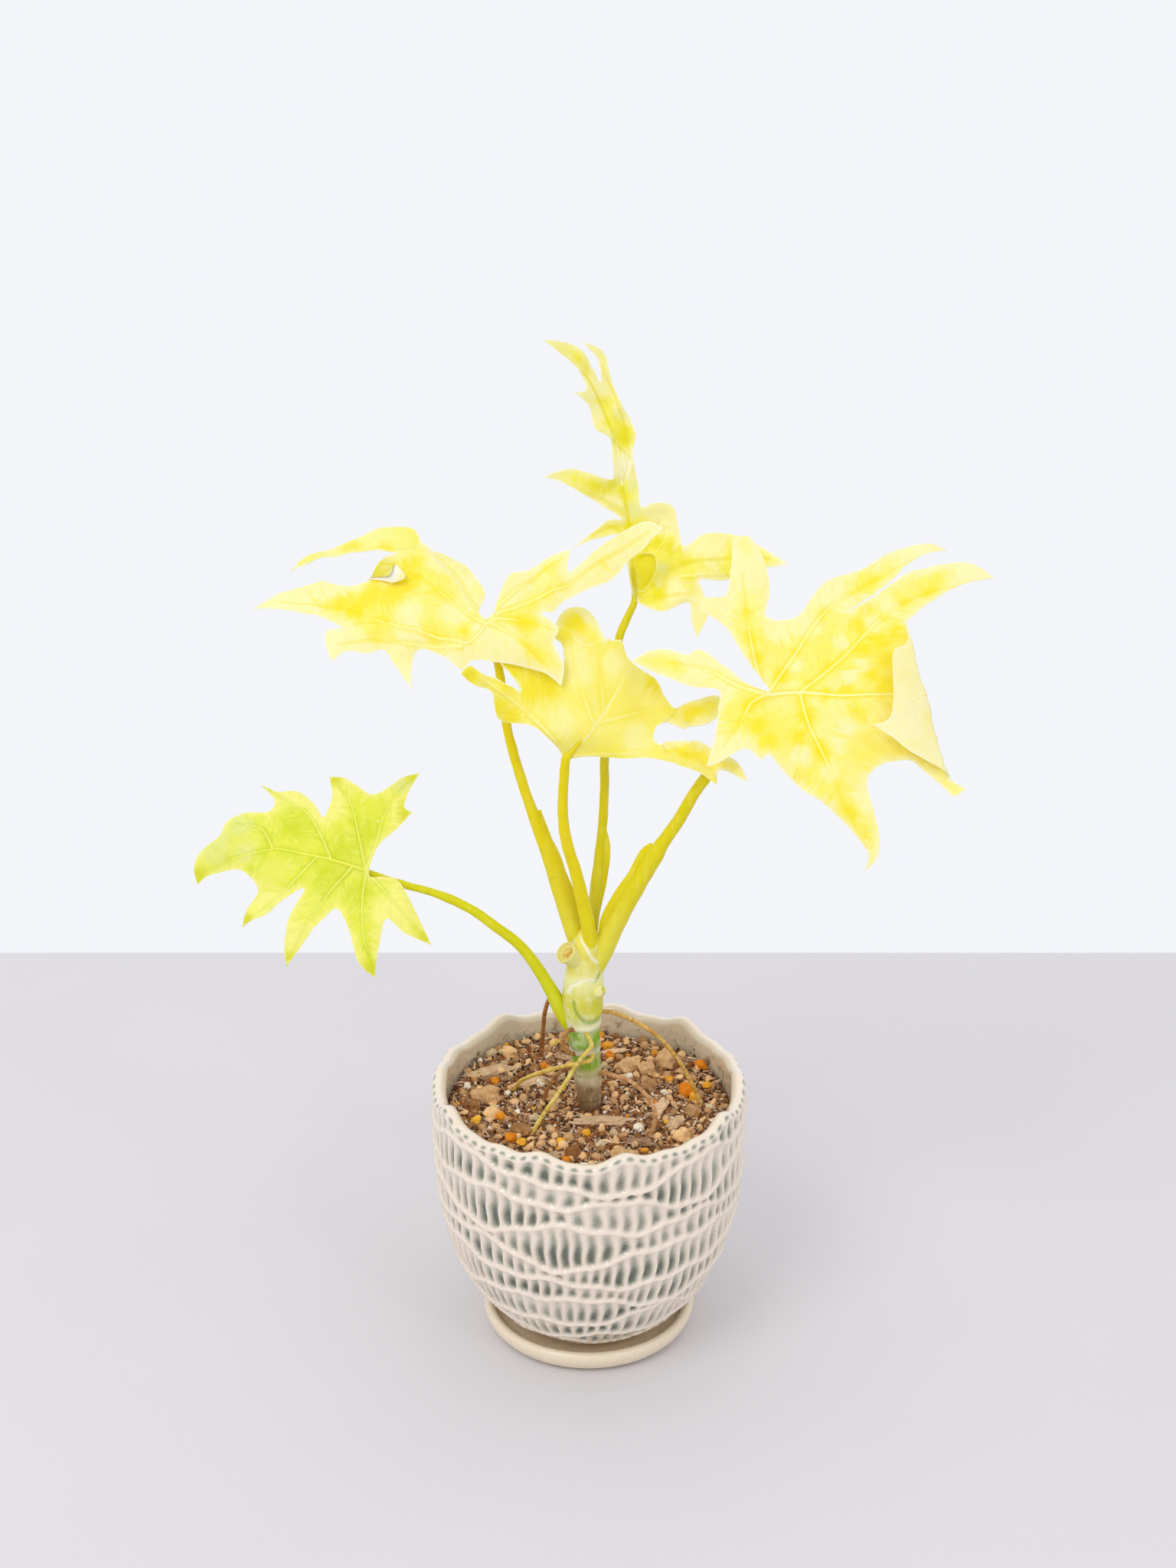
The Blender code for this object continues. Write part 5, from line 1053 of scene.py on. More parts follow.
# The blades: five thin, deeply lobed leaves, soft and a little quilted between their veins. The
# low one is yellow-green; the others are golden, paler beneath, with brown pin-prick specks.
TIP = "tip"
BLADE_THICKNESS = 0.5
EDGE_STEP = 1.0
INSIDE_STEP = 1.25
LEAVES = {
    "low_left": dict(
        place=(-78.7, 2.0, 187.5), along=(-0.965, 0.249, 0.084), face=(-0.12, -0.70, 0.70),
        outline=[
            (-1, -2, 0), (-2, -10, 0), (-7, -18, 0), (-10, -25, -2, TIP), (-7, -26, -1),
            (-7, -33, -2), (-8, -41, -5, TIP), (-3, -37, -2), (1, -31, 0), (6, -28, 0),
            (13, -31, -1), (18, -33, -3), (24, -33, -5, TIP), (20, -25, -1), (20, -16, 1),
            (26, -21, -1), (34, -25, -3), (42, -24, -5), (49, -26, -8, TIP), (41, -20, -4),
            (42, -15, -3), (51, -13, -3), (56, -9, -4), (58, -3, -5), (64, 3, -8),
            (66, 8, -12), (64, 13, -16, TIP), (57, 9, -11), (48, 7, -7), (41, 10, -5),
            (38, 14, -5), (40, 21, -6), (41, 27, -9, TIP), (33, 22, -5), (26, 15, -2),
            (20, 11, 0), (23, 21, -2), (23, 31, -5), (21, 38, -9, TIP), (15, 27, -4),
            (10, 19, -1), (6, 16, 0), (0, 23, -2), (-5, 32, -5), (-11, 35, -9, TIP),
            (-11, 25, -3), (-12, 16, 0), (-19, 19, -3), (-28, 20, -8, TIP), (-21, 11, -3),
            (-13, 2, 0), (-7, 1, 0), (-2, 2, 0),
        ],
        veins=[
            [(0, 0, 0), (13, -1, 1.5), (23, -1, 2), (35, -1, 0), (51, 4, -5), (60, 9, -10)],
            [(13, -1, 1.5), (19, -9, 1.5), (26, -16, 0.5), (34, -20, -1.5), (45, -24, -5)],
            [(35, -1, 0), (42, -8, -1.5), (52, -9, -3)],
            [(0, 0, 0), (7, -14, 1), (12, -23, 0.5), (20, -30, -2)],
            [(0, 0, 0), (-1, -12, 0.5), (-1, -22, 0), (-5, -35, -2)],
            [(18, -1, 2), (24, 9, 1), (31, 17, -2), (38, 24, -5)],
            [(5, 0, 1), (11, 12, 1), (16, 23, -1), (20, 34, -6)],
            [(0, 0, 0), (-2, 12, 0.5), (-5, 23, -1), (-10, 32, -6)],
            [(0, 0, 0), (-15, 11, 0), (-24, 17, -4)],
        ],
        folds=[],
    ),
    "upper_left": dict(
        place=(-34.3, 5.0, 279.6), along=(-0.986, 0.165, 0.022), face=(-0.05, -0.42, 0.906),
        outline=[
            (1, -2, 0), (4, -5, 1), (3, -12, 2), (8, -20, 2), (14, -26, 2), (24, -30, 2),
            (30, -35, 2), (34, -39, 4), (45, -38, 4), (54, -33, 2), (70, -27, -2),
            (75, -22, -5, TIP), (69, -24, -3), (59, -26, 0), (50, -28, 1), (44, -29, 2),
            (38, -28, 2), (42, -26, 2), (50, -26, 2), (57, -24, 2), (62, -22, 2),
            (63, -20, 2, TIP), (59, -18, 2), (53, -17, 2), (46, -15, 1), (50, -13, 0),
            (58, -14, -1), (63, -15, -2), (75, -11, -4),
            (85, -6, -9, TIP), (73, -4, -6), (60, -1, -4), (51, 3, -4), (56, 4, -6),
            (56, 8, -8), (53, 13, -12, TIP), (49, 10, -10), (41, 10, -9), (35, 9, -8),
            (30, 14, -11), (24, 19, -16, TIP), (25, 13, -12), (24, 8, -9), (16, 9, -8),
            (8, 13, -10), (3, 10, -8), (-8, 11, -8), (-19, 11, -10), (-27, 14, -13, TIP),
            (-27, 8, -9), (-23, 3, -4), (-24, -1, 0), (-18, -4, 3), (-22, -5, 3), (-27, -9, 6),
            (-40, -14, 10), (-46, -19, 15), (-52, -23, 20), (-57, -28, 24, TIP),
            (-49, -28, 25), (-38, -22, 21), (-30, -17, 15), (-26, -15, 13),
            (-26, -21, 18, TIP), (-19, -18, 16), (-12, -14, 13), (-6, -12, 12), (-3, -7, 7),
            (-2, -2, 3),
        ],
        veins=[
            [(0, 0, 0), (7, 7, -3), (14, 9, -6), (22, 15, -12)],
            [(7, 7, -3), (19, 5, -3), (31, 3, -2), (42, 0, -1), (54, -4, -2), (75, -7, -5)],
            [(0, 0, 0), (14, -7, 2), (32, -18, 4), (41, -21, 4)],
            [(1, 0, 0), (13, -17, 4), (24, -28, 4)],
            [(8, 8, -4), (24, 7, -5), (40, 7, -5), (51, 8, -8)],
            [(0, 0, 0), (-6, -7, 6), (-14, -12, 10), (-24, -18, 16)],
            [(0, 0, 0), (-12, -6, 5), (-21, -9, 9), (-32, -15, 14), (-52, -26, 23)],
            [(0, 0, 0), (-12, 5, -2), (-22, 10, -8)],
            [(0, 0, 0), (-13, -1, 1), (-22, 0, 0)],
        ],
        folds=[dict(
            area=[(38, -29), (60, -25), (71, -21), (71, -17), (60, -16), (41, -13)],
            start=(40, -28), direction=(0.3, 0.95), radius=1.5, angle=2.7,
        )],
    ),
    "centre": dict(
        place=(-8.0, -12.0, 236.0), along=(1.0, 0.0, 0.0), face=(0.0, -1.0, 0.0),
        outline=[
            (0, 0, 0), (-3, 6, 2), (-7, 11, 3), (-12, 14, 2), (-22, 14, -2), (-24, 20, -2),
            (-25, 25, -2), (-31, 28, 0), (-35, 33, 2, TIP), (-32, 35, 0), (-27, 31, -1),
            (-20, 27, -3), (-15, 24, -4), (-18, 28, -8), (-22, 32, -12), (-13, 32, -14),
            (-6, 29, -14), (-1, 28, -14), (-1, 35, -17), (-4, 38, -19), (-2, 43, -24),
            (2, 45, -27), (7, 44, -28), (11, 40, -25), (14, 36, -20), (19, 36, -20),
            (21, 31, -18), (25, 27, -18), (31, 23, -17), (34, 18, -14), (38, 15, -10),
            (45, 18, -10), (52, 20, -9), (53, 14, -8), (43, 10, -6), (33, 12, -4),
            (30, 9, -2), (32, 7, 2), (42, 8, 5), (52, 6, 9), (58, 5, 14), (61, 0, 18, TIP),
            (52, 2, 14), (51, -2, 15, TIP), (46, 0, 11), (37, 2, 7), (28, 3, 4),
            (16, 2, 2), (7, 2, 0), (2, 1, 0),
        ],
        veins=[
            [(0, 1, 0), (6, 8, 2), (10, 13, 1), (16, 20, -6), (21, 27, -13)],
            [(-1, 4, 1), (-6, 12, 3), (-15, 20, -1), (-24, 26, -1), (-31, 31, 0)],
            [(10, 13, 1), (6, 22, -5), (3, 29, -12), (2, 37, -19)],
            [(13, 17, -3), (12, 26, -10), (11, 34, -18)],
            [(11, 14, 0), (21, 15, -4), (34, 15, -9), (46, 15, -9)],
            [(2, 2, 1), (21, 4, 3), (42, 5, 7), (54, 3, 13)],
        ],
        folds=[],
    ),
    "right": dict(
        place=(59.1, -20.0, 263.5), along=(0.994, -0.093, 0.052), face=(-0.10, -0.662, 0.743),
        outline=[
            (1, 2, 0), (-7, 12, 4), (-14, 24, 4), (-22, 29, 6), (-21, 33, 7), (-14, 35, 5),
            (-12, 43, 8), (-11, 53, 13, TIP), (-5, 53, 12), (0, 44, 7), (1, 36, 4),
            (0, 28, 2), (10, 28, 2), (15, 36, 1), (21, 43, 0), (33, 48, -1), (44, 56, -3),
            (55, 59, -5), (61, 58, -8, TIP), (50, 53, -5), (42, 44, -3), (32, 35, -1),
            (28, 31, 0), (38, 39, -2), (49, 48, -4), (64, 53, -7), (72, 52, -9),
            (77, 49, -12, TIP), (64, 44, -8), (55, 36, -4), (48, 28, 0), (47, 26, 0),
            (53, 18, 0), (59, 16, 0), (63, 7, 0), (70, -6, 0), (77, -7, 0, TIP),
            (73, -13, 0), (69, -19, 0), (64, -25, 0), (61, -29, 0), (60, -31, -1),
            (65, -34, -1, TIP), (61, -37, -1), (58, -34, -1), (52, -28, -2), (48, -24, -2),
            (44, -23, -3), (38, -24, -3), (35, -26, -4), (33, -30, -5), (35, -38, -7),
            (37, -47, -11), (36, -53, -15), (32, -56, -19, TIP), (33, -51, -14),
            (27, -44, -10), (20, -38, -6), (11, -32, -4), (5, -26, -2), (1, -22, 0),
            (-2, -23, -1), (-7, -19, -1), (-15, -22, -4), (-20, -23, -6, TIP),
            (-17, -13, -3), (-16, -4, -1), (-16, 2, 0), (-27, 5, -2), (-39, 11, -3),
            (-46, 15, -3, TIP), (-39, 17, 0), (-33, 17, 1), (-27, 15, 1), (-22, 16, 3),
            (-14, 10, 2), (-6, 4, 1),
        ],
        veins=[
            [(0, 0, 0), (11, 1, -0.5), (25, 0, -1), (42, 0, -0.5), (55, -1, 0), (74, -6, 0)],
            [(-1, 2, 0), (-4, 12, 3), (-6, 24, 3), (-8, 42, 8)],
            [(0, 0, 0), (9, 14, 0.5), (20, 31, 0), (32, 41, -2), (52, 54, -5)],
            [(11, 1, -0.5), (25, 13, 0), (38, 28, -1), (52, 39, -5), (68, 46, -9)],
            [(11, 1, -0.5), (14, -11, 0), (19, -22, -1.5), (27, -40, -8), (33, -50, -14)],
            [(0, 0, 0), (-5, -3, 0), (-8, -9, 0), (-14, -17, -3)],
            [(0, 0, 0), (-11, 4, 0.5), (-21, 10, 0.5), (-33, 13, 0)],
        ],
        folds=[dict(
            area=[(43, 27), (90, 27), (90, -30), (54, -30)],
            start=(45, 25), direction=(0.2, -0.98), radius=2.0, angle=2.85,
        )],
    ),
    "top": dict(
        place=(16.0, 16.0, 284.0), along=(1.0, 0.0, 0.0), face=(0.0, -1.0, 0.0),
        outline=[
            (0, 0, 0), (-2, 5, -2), (-3, 12, -6), (-5, 20, -8), (-11, 20, -7), (-17, 19, -5),
            (-22, 17, -4, TIP), (-15, 22, -6), (-9, 26, -8), (-5, 26, -9), (-11, 31, -6),
            (-22, 40, -1), (-31, 45, 4, TIP), (-22, 46, -2), (-12, 42, -6), (-8, 40, -9),
            (-8, 46, -10), (-9, 54, -11), (-14, 58, -9), (-16, 66, -8), (-21, 72, -4, TIP),
            (-17, 72, -7), (-19, 78, -7), (-24, 84, -4), (-31, 91, 2, TIP), (-24, 89, -3),
            (-18, 85, -7), (-15, 79, -9), (-12, 73, -12), (-13, 81, -11), (-18, 88, -8, TIP),
            (-11, 83, -12), (-8, 72, -13), (-3, 61, -16), (0, 54, -15), (-1, 47, -14),
            (1, 36, -14), (2, 29, -13), (7, 30, -15), (13, 28, -17), (15, 20, -16),
            (17, 15, -12), (24, 19, -14), (33, 18, -16), (44, 14, -14), (53, 10, -8, TIP),
            (44, 8, -10), (32, 5, -6), (22, 6, -3), (23, 3, 0), (25, -3, 4), (21, -11, 8, TIP),
            (19, -6, 4), (18, 0, 3), (10, -2, 6), (3, -1, 4),
        ],
        veins=[
            [(0, 1, 0), (-1, 7, -7), (-2, 17, -11), (-3, 27, -12), (-5, 38, -13),
             (-7, 52, -13), (-12, 65, -12), (-17, 76, -9), (-26, 86, -2)],
            [(-3, 27, -12), (-11, 33, -8), (-24, 42, -1)],
            [(-2, 17, -10), (-8, 23, -9), (-16, 21, -6)],
            [(-1, 8, -7), (5, 16, -12), (8, 23, -15)],
            [(1, 2, -1), (11, 8, -6), (20, 11, -8), (33, 11, -11), (46, 11, -11)],
            [(2, 0, 1), (9, 2, 3), (18, 3, 3)],
            [(-5, 38, -13), (-3, 50, -15), (-6, 64, -13), (-12, 79, -11)],
        ],
        folds=[],
    ),
}
def smooth_loop(outline, step):
    """Run a closed curve through an outline's points, with a corner at each tip."""
    curve = []
    count = len(outline)
    for index in range(count):
        start, end = outline[index], outline[(index + 1) % count]
        before = start if TIP in start else outline[index - 1]
        after = end if TIP in end else outline[(index + 2) % count]
        knots = [np.array(point[:2], float) for point in (before, start, end, after)]
        pieces = max(1, round(float(np.linalg.norm(knots[2] - knots[1])) / step))
        curve += [catmull(*knots, piece / pieces) for piece in range(pieces)]
    return np.array(curve)


def height_field(points):
    """A thin plate bent through points of (u, v, height); returns its height anywhere."""
    known = np.array(points, float)
    known = known[np.unique(known[:, :2], axis=0, return_index=True)[1]]
    count = len(known)

    def spline(distance):
        return distance ** 2 * np.log(distance + 1e-9)

    apart = np.linalg.norm(known[:, None, :2] - known[None, :, :2], axis=2) / 10.0
    system = np.zeros((count + 3, count + 3))
    system[:count, :count] = spline(apart) + 0.02 * np.eye(count)
    system[:count, count] = 1.0
    system[:count, count + 1:] = known[:, :2] / 10.0
    system[count:, :count] = system[:count, count:].T
    weights = np.linalg.solve(system, np.concatenate([known[:, 2], np.zeros(3)]))

    def height(flat):
        apart = np.linalg.norm(flat[:, None, :] - known[None, :, :2], axis=2) / 10.0
        return spline(apart) @ weights[:count] + weights[count] + flat / 10.0 @ weights[count + 1:]

    return height


def inside(point, loop, clear=0.0):
    """Whether a point is in a closed loop, and at least a clear distance from its edge."""
    starts, ends = loop, np.roll(loop, -1, axis=0)
    run = ends - starts
    crosses = (starts[:, 1] > point[1]) != (ends[:, 1] > point[1])
    at = starts[:, 0] + (point[1] - starts[:, 1]) / (run[:, 1] + 1e-12) * run[:, 0]
    share = np.clip(((point - starts) * run).sum(1) / (run ** 2).sum(1), 0, 1)
    near = np.linalg.norm(starts + run * share[:, None] - point, axis=1).min()
    return (crosses & (point[0] < at)).sum() % 2 == 1 and near > clear




def crease_ways(crease):
    """Where a crease starts, which way it runs, and which way its flap lies."""
    direction = np.array(crease["direction"], float) / np.linalg.norm(crease["direction"])
    away = np.array([-direction[1], direction[0]])
    return np.array(crease["start"], float), direction, away if away[0] > 0 else -away


def crease_points(crease, loop):
    """Rows of points along a crease, so that its roll is smooth."""
    start, direction, away = crease_ways(crease)
    area = np.array(crease["area"], float)
    found = []
    for row in range(9):
        past = 0.125 * row * crease["radius"] * crease["angle"]
        for step in np.arange(0.0, 100.0, 1.0):
            point = start + direction * step + away * past
            if inside(point, area) and inside(point, loop, 0.5):
                found.append(point)
    return found


def fold(points, crease):
    """Roll the flap of a sheet that lies past a crease, inside its area, towards the face."""
    origin, direction, away = crease_ways(crease)
    area = np.array(crease["area"], float)
    radius, angle = crease["radius"], crease["angle"]
    for point in points:
        offset = point[:2] - origin
        along, past = offset @ direction, offset @ away
        if past <= 0 or not inside(point[:2], area):
            continue
        turned = min(past / radius, angle)
        rest = max(past - radius * angle, 0.0)
        lift = point[2]
        forward = (radius - lift) * math.sin(turned) + rest * math.cos(turned)
        rise = radius - (radius - lift) * math.cos(turned) + rest * math.sin(turned)
        point[:2] = origin + direction * along + away * forward
        point[2] = rise


def trace(vein, step=0.8):
    """A vein's line on the flat sheet, smooth through its points."""
    return smooth_path([(u, v, 0.0, 0.0) for u, v, *lift in vein], step)[:, :2]


def distances(points, line):
    """How far each point lies from a line, and how far along the line its nearest place is."""
    starts, runs = line[:-1], line[1:] - line[:-1]
    lengths = np.linalg.norm(runs, axis=1)
    passed = np.concatenate([[0.0], np.cumsum(lengths)[:-1]])
    offset = points[:, None, :] - starts[None]
    share = np.clip((offset * runs).sum(2) / lengths ** 2, 0, 1)
    apart = np.linalg.norm(offset - runs * share[..., None], axis=2)
    nearest = apart.argmin(axis=1)
    rows = np.arange(len(points))
    return apart[rows, nearest], passed[nearest] + share[rows, nearest] * lengths[nearest]


def thin_out(points, apart, kept):
    """Add points to those kept, leaving out each that lies too near one before it."""
    cells = {}
    for point in kept:
        cells.setdefault((int(point[0] // apart), int(point[1] // apart)), []).append(point)
    for point in points:
        cell = (int(point[0] // apart), int(point[1] // apart))
        near = [other for column in (-1, 0, 1) for row in (-1, 0, 1)
                for other in cells.get((cell[0] + column, cell[1] + row), ())]
        if all(math.dist(point, other) > apart for other in near):
            cells.setdefault(cell, []).append(point)
            kept.append(point)
    return kept


def beside(line, offset):
    """The line at a distance to its left."""
    ahead = np.gradient(line, axis=0)
    ahead /= np.linalg.norm(ahead, axis=1)[:, None]
    return line + offset * np.column_stack([-ahead[:, 1], ahead[:, 0]])


def make_leaf_coat(name, look):
    """Leaf skin, coloured by what each point carries: veins, edge, patches and which side it is, with painted shade in
    the vein grooves and behind lapping edges, and a painted highlight along the edges.
    """
    coat, tree, shader = new_coat("blade_skin_" + name)
    where = place_of(tree)
    cloud = clouds(tree, where, 14.0, 4.0)
    fine = clouds(tree, where, 2.2, 5.0, 0.6)
    clear = reading(tree, "clear")
    lines = add(tree, "ShaderNodeCombineXYZ",
                {0: reading(tree, "flow"), 1: sums(tree, "MULTIPLY", reading(tree, "reach"), 0.16)}).outputs[0]
    hatch = add(tree, "ShaderNodeTexNoise", {"Vector": lines, "Scale": 2.6, "Detail": 2.0}).outputs[0]
    hatch = sums(tree, "MULTIPLY", spread(tree, hatch, 0.42, 0.62), clear)
    streaks = add(tree, "ShaderNodeTexNoise", {"Vector": lines, "Scale": 0.5, "Detail": 4.0,
                                               "Roughness": 0.6}).outputs[0]
    streaks = sums(tree, "MULTIPLY", sums(tree, "SUBTRACT", streaks, 0.5), sums(tree, "MULTIPLY", clear, 1.9))
    ragged = sums(tree, "ADD", sums(tree, "MULTIPLY", sums(tree, "SUBTRACT", fine, 0.5), 0.6), streaks)
    side = sums(tree, "MULTIPLY", reading(tree, "side"), clear)

    colour = tint(tree, spread(tree, cloud, 0.35, 0.65), look["pale"], look["mid"])
    rich = sums(tree, "ADD", reading(tree, "rich"), ragged)
    colour = tint(tree, sums(tree, "MULTIPLY", spread(tree, rich, 0.1, 0.95), 0.85), colour, look["deep"])
    watery = spread(tree, clouds(tree, where, 6.0, 3.0), 0.36, 0.62, 0.2, 1.0)
    flush = sums(tree, "MULTIPLY", sums(tree, "ADD", reading(tree, "flush"), ragged), watery)
    colour = tint(tree, sums(tree, "MULTIPLY", spread(tree, flush, 0.15, 1.05), look["flushed"]), colour,
                  look["flush"])
    margin = sums(tree, "ADD", reading(tree, "edge"), ragged)
    margin = sums(tree, "ADD", margin, reading(tree, "faded"))
    colour = tint(tree, sums(tree, "MULTIPLY", spread(tree, margin, 0.3, 1.0), look["faded"]), colour,
                  look["margin"])
    dusted = sums(tree, "ADD", reading(tree, "dusted"), sums(tree, "MULTIPLY", ragged, 0.6))
    dusted = sums(tree, "MULTIPLY", spread(tree, dusted, 0.2, 0.9), 0.85)
    colour = tint(tree, dusted, colour, look["dust"])
    colour = tint(tree, sums(tree, "MULTIPLY", hatch, look["hatched"]), colour, look["hatch"])
    colour = tint(tree, sums(tree, "MULTIPLY", side, look["veined"]), colour, look["vein"])
    # Painted shade in the grooves beside the ribs, together with the veins' own deeper line past their pale part.
    colour = tint(tree, sums(tree, "MULTIPLY", reading(tree, "groove"), look["grooved"]), colour,
                  look["groove"])
    colour = tint(tree, spread(tree, reading(tree, "rib"), 0.3, 0.75), colour, look["rib"])
    colour = tint(tree, spread(tree, reading(tree, "midrib"), 0.3, 0.75), colour, look["midrib"])
    worn = sums(tree, "ADD", reading(tree, "tip"), sums(tree, "MULTIPLY", ragged, 0.5))
    colour = tint(tree, sums(tree, "MULTIPLY", spread(tree, worn, 0.3, 0.85), look["tipped"]), colour,
                  look["tip"])

    back = tint(tree, spread(tree, cloud, 0.35, 0.65), look["under"], look["under_mid"])
    back = tint(tree, sums(tree, "MULTIPLY", spread(tree, rich, 0.1, 0.95), 0.85), back, look["under_deep"])
    wan = sums(tree, "ADD", reading(tree, "faded"), sums(tree, "MULTIPLY", ragged, 0.6))
    back = tint(tree, sums(tree, "MULTIPLY", spread(tree, wan, 0.2, 0.9), 0.9), back, look["under_pale"])
    back = tint(tree, sums(tree, "MULTIPLY", hatch, 0.16), back, look["under_deep"])
    # Beneath too: painted shade in the vein grooves, with the veins' own deeper line.
    back = tint(tree, sums(tree, "MULTIPLY", reading(tree, "groove"), 0.55), back, look["under_deep"])
    back = tint(tree, spread(tree, reading(tree, "rib"), 0.3, 0.75, 0.0, 0.4), back, look["under_rib"])
    back = tint(tree, spread(tree, reading(tree, "midrib"), 0.3, 0.75), back, look["under_rib"])
    colour = tint(tree, reading(tree, "under"), colour, back)
    # Painted highlight: a pale line along the sheet's outline and along edges that lap over other parts.
    colour = tint(tree, sums(tree, "MULTIPLY", spread(tree, reading(tree, "rim"), 0.5, 0.95), 0.6), colour,
                  look["lip"])
    specks = spread(tree, clouds(tree, where, 0.7, 1.0), 0.76, 0.79)
    colour = tint(tree, sums(tree, "MULTIPLY", specks, look["specked"]), colour, look["speck"])
    settle(tree, shader, colour, spread(tree, fine, 0.2, 0.8, 0.4, 0.52))
    shader.inputs["Specular IOR Level"].default_value = 0.25
    shader.inputs["Subsurface Weight"].default_value = 0.6
    shader.inputs["Subsurface Radius"].default_value = (1.0, 0.9, 0.25)
    shader.inputs["Subsurface Scale"].default_value = 0.002
    relief = sums(tree, "SUBTRACT", sums(tree, "MULTIPLY", clouds(tree, where, 0.6, 3.0), 0.3),
                  sums(tree, "MULTIPLY", hatch, 0.5))
    emboss(tree, shader, relief, 0.25, 0.2)
    return coat


# In each look, lip is the colour of the painted highlight along the edges.
GOLD = dict(
    pale=(253, 235, 150), mid=(250, 230, 106), deep=(245, 218, 4), flush=(245, 218, 10), flushed=0.75,
    hatch=(240, 216, 40), hatched=0.2, vein=(238, 212, 30), veined=0.15,
    rib=(253, 240, 150), midrib=(253, 243, 170), groove=(242, 214, 0), grooved=0.75,
    margin=(254, 239, 186), faded=0.8, lip=(254, 248, 214), tip=(206, 198, 40), tipped=0.0,
    dust=(240, 234, 158), under=(249, 237, 186), under_mid=(246, 234, 160), under_deep=(238, 218, 60),
    under_rib=(252, 244, 204), under_pale=(253, 248, 218), speck=(170, 118, 40), specked=0.6,
)
LOOKS = {
    "low_left": dict(
        GOLD, pale=(226, 226, 92), mid=(217, 220, 56), deep=(194, 207, 0), flush=(190, 205, 0),
        flushed=0.8, hatch=(234, 233, 120), hatched=0.5, vein=(190, 204, 10), veined=0.25,
        rib=(234, 232, 124), midrib=(236, 229, 92), groove=(172, 192, 0), grooved=0.6,
        margin=(247, 237, 138), faded=0.9, lip=(240, 238, 160), tip=(197, 201, 0), tipped=0.85,
        dust=(214, 221, 138), under=(230, 232, 150), under_mid=(220, 222, 118),
        under_deep=(196, 206, 70), under_pale=(240, 238, 170), speck=(252, 252, 240), specked=0.9,
    ),
    "upper_left": dict(GOLD, under=(243, 234, 150), under_mid=(238, 228, 118), under_deep=(232, 214, 20)),
    "centre": dict(GOLD, pale=(250, 232, 104), mid=(247, 228, 78), under=(246, 229, 132),
                   under_mid=(242, 224, 100), under_deep=(238, 214, 10), under_rib=(238, 228, 170),
                   under_pale=(248, 234, 158), specked=0.4),
    "right": GOLD,
    "top": dict(GOLD, pale=(247, 234, 112), mid=(242, 228, 74), deep=(228, 214, 0),
                flush=(232, 216, 4), rib=(234, 220, 40), midrib=(224, 210, 20), groove=(224, 208, 0),
                dust=(226, 224, 158), under=(242, 234, 172), under_mid=(240, 230, 150),
                under_deep=(222, 210, 30), specked=0.3),
}
